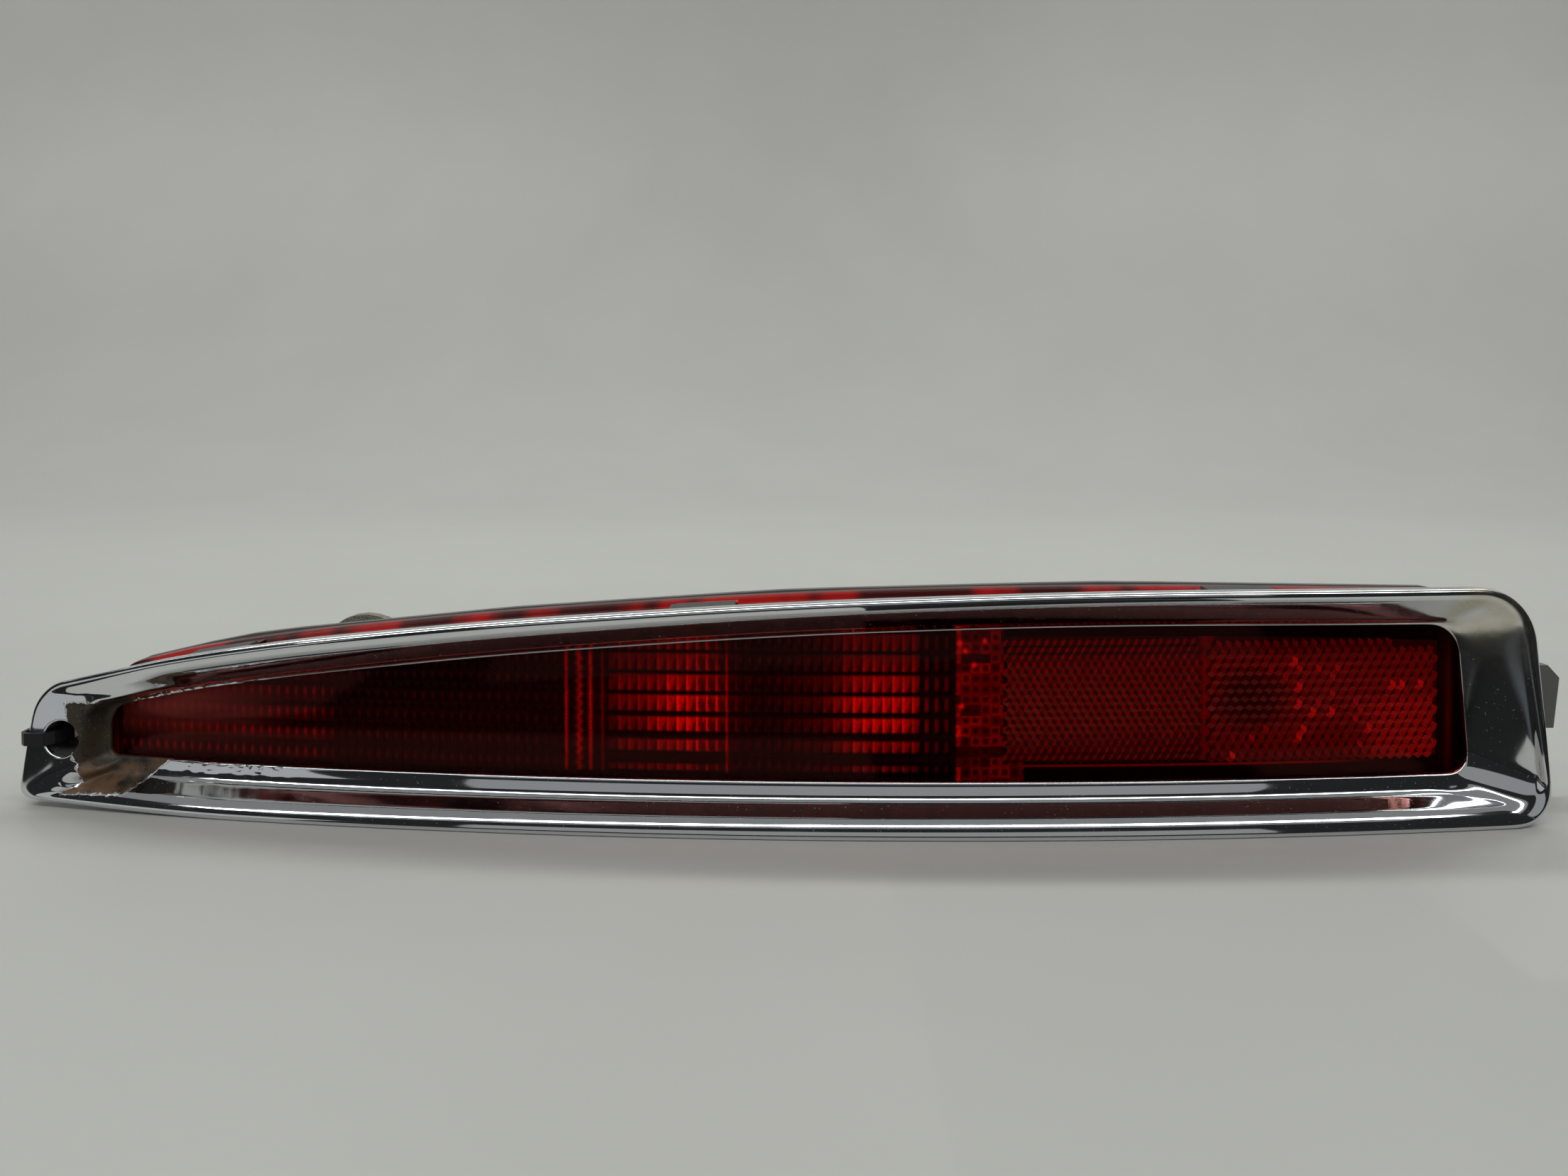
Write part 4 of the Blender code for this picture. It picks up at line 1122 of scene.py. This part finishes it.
def make_optics():
    """The pillow plate behind the clear front, with a smooth part at the wide end behind the reflex cells."""
    low, high = low_and_high(outline(LIP, -2.5))
    fine = np.arange(low[0, 0] + 0.1, BAND_FOOT[0] + 0.4, STEP_X)
    columns = np.concatenate((fine, np.arange(91, low[-1, 0], 2.0)))
    levels = np.arange(ROW_START - 4 * STEP_Z, 76, STEP_Z)
    bm = bmesh.new()
    grid = []
    for x, bottom, top in zip(columns, *span_at(low, high, columns)):
        z = np.clip(levels, bottom, top)
        y = crest(x, z) + OPTICS_DEPTH - pillow_height(np.full(len(z), x), z)
        grid.append([bm.verts.new((x, *place)) for place in zip(y, z)])
    join_columns(bm, grid)
    bmesh.ops.remove_doubles(bm, verts=bm.verts, dist=0.001)
    close_behind(bm, OPTICS_DEPTH + PLATE)
    mesh = mesh_from_bmesh("lens_pillow_optics", bm)
    x, y, z = lamp_points(mesh).T
    store(mesh, "painted_glow", painted_glow_at(x, z))
    store(mesh, "haze", haze_at(x, z))
    finish_piece(mesh, [PILLOWS], replaced="lens", sharp=60)


def close_behind(bm, depth):
    """Gives each separate sheet its sides and a plain back."""
    rim = [e for e in bm.edges if len(e.link_faces) == 1]
    made = bmesh.ops.extrude_edge_only(bm, edges=rim)
    fresh = [part for part in made["geom"] if isinstance(part, bmesh.types.BMEdge)]
    for vert in {v for e in fresh for v in e.verts}:
        vert.co.y = crest(vert.co.x, vert.co.z) + depth
    made = bmesh.ops.holes_fill(bm, edges=fresh, sides=0)
    bmesh.ops.triangulate(bm, faces=made["faces"])


# The fine and the coarse field of corner-cube cells: left, right and width of a cell
REFLEX_FINE = (81.6, 153.4, 3.0)
REFLEX_COARSE = (157.0, 243.0, 3.6)
REFLEX_LOW, REFLEX_HIGH = 23.6, 66.6
CELL_FRONT = 17.0
PLATE_FRONT = 18.2
# A spot of the coarse field where the painted light is dimmed: x, z, half width and half height
DARK_SPOT = (171.0, 44.5, 14.5, 11.5)
# Cells of the coarse field painted as bright glints: x, z
PAINTED_GLINT_CELLS = (
    (188.6, 57.4), (187.7, 48.3), (188.5, 43.3), (193.2, 39.4), (200.5, 39.7), (198.9, 37.4), (190.5, 34.2),
    (188.9, 31.4), (164, 22.8), (215.1, 33.6), (226.2, 48.3), (230.1, 48.2), (234.8, 48.1),
)


def reflex_top(x):
    return REFLEX_HIGH - 0.00018 * (x - 110) ** 2


def cell_levels(x, z, fine):
    """Painted light and shade of the three faces of a cell, by how each face is turned: right, upper left and
    lower left.
    """
    chance = float(cell_random(x / 1.9, z / 1.6, 9))
    left, up, width, height = DARK_SPOT
    spot = math.exp(-(((x - left) / width) ** 2 + ((z - up) / height) ** 2) ** 2)
    if fine:
        levels = [0.10, 0.34 + 0.12 * chance, 0.02]
    else:
        levels = [0.26 + 0.1 * chance, 0.05, 0.17]
        corner = float(ease(212, 222, x) * (1 - ease(42, 47, z)))
        levels = [value + corner * extra for value, extra in zip(levels, (0.25, 0.0, 0.2))]
        if chance > 0.9 and abs(x - 193) < 22 and z < 60:
            levels[0] += 0.3
        for px, pz in PAINTED_GLINT_CELLS:
            if math.hypot(x - px, z - pz) < 1.75:
                levels = [1.0, 0.1, 0.45]
                spot = 0
    return [value * (1 - 0.85 * spot) for value in levels]


def hexagon_field(bm, layer, left, right, width, fine):
    """Corner-cube cells: each hexagon is three slanted four-sided faces."""
    side = width / math.sqrt(3)
    rise = 0.33 * side
    corners = {}

    def corner(x, z, level):
        key = (round(x * 50), round(z * 50))
        if key not in corners:
            corners[key] = bm.verts.new((x, crest(x, z) + CELL_FRONT + (2 - level) * rise, z))
        return corners[key]

    row = 0
    z = REFLEX_LOW
    while z < REFLEX_HIGH:
        x = left + (width / 2 if row % 2 else 0)
        while x < right:
            if z < reflex_top(x):
                middle = corner(x, z, 0)
                ring = []
                for k in range(6):
                    angle = math.pi / 6 + k * math.pi / 3
                    ring.append(corner(x + side * math.cos(angle), z + side * math.sin(angle), 2 - k % 2))
                for k, level in zip((0, 2, 4), cell_levels(x, z, fine)):
                    face = bm.faces.new((middle, ring[k - 1], ring[k], ring[(k + 1) % 6]))
                    face[layer] = level
            x += width
        z += side * 1.5
        row += 1


def make_reflex():
    bm = bmesh.new()
    layer = bm.faces.layers.float.new("painted_glow")
    hexagon_field(bm, layer, *REFLEX_FINE, True)
    hexagon_field(bm, layer, *REFLEX_COARSE, False)
    close_behind(bm, PLATE_FRONT + 0.6)
    mesh = mesh_from_bmesh("reflex_cells", bm)
    finish_piece(mesh, [CELLS], replaced="reflex_reflector", sharp=8)
    make_reflex_plate()


def make_reflex_plate():
    """The plain plate that carries the cells. A painted line of light shows on it between the two fields."""
    low, high = REFLEX_LOW - 1.2, REFLEX_HIGH + 1.2
    levels = np.linspace(0, 1, 25)
    bm = bmesh.new()
    grid = []
    for x in np.arange(80.6, 244.6, 1.0):
        top = min(high, reflex_top(x) + 1.2)
        grid.append([bm.verts.new((x, crest(x, z) + PLATE_FRONT, z)) for z in low + (top - low) * levels])
    join_columns(bm, grid)
    close_behind(bm, PLATE_FRONT + 2.2)
    mesh = mesh_from_bmesh("reflex_plate", bm)
    store(mesh, "painted_glow", 0.05 + 0.22 * bump_at(lamp_points(mesh)[:, 0], 155.2, 2.6, 4))
    finish_piece(mesh, [CELLS], replaced="reflex_reflector", sharp=40)


# ---------------- carried-over nodes
def dress_nodes():
    """Every CAD node that stays visible gets its finish by its slot in the record."""
    for node in NODES.values():
        for place in node.material_slots:
            base = place.material.name.split(".")[0]
            if base in FINISHES:
                place.material = FINISHES[base]


make_surroundings()
make_bezel()
make_lens()
make_optics()
make_reflex()
dress_nodes()
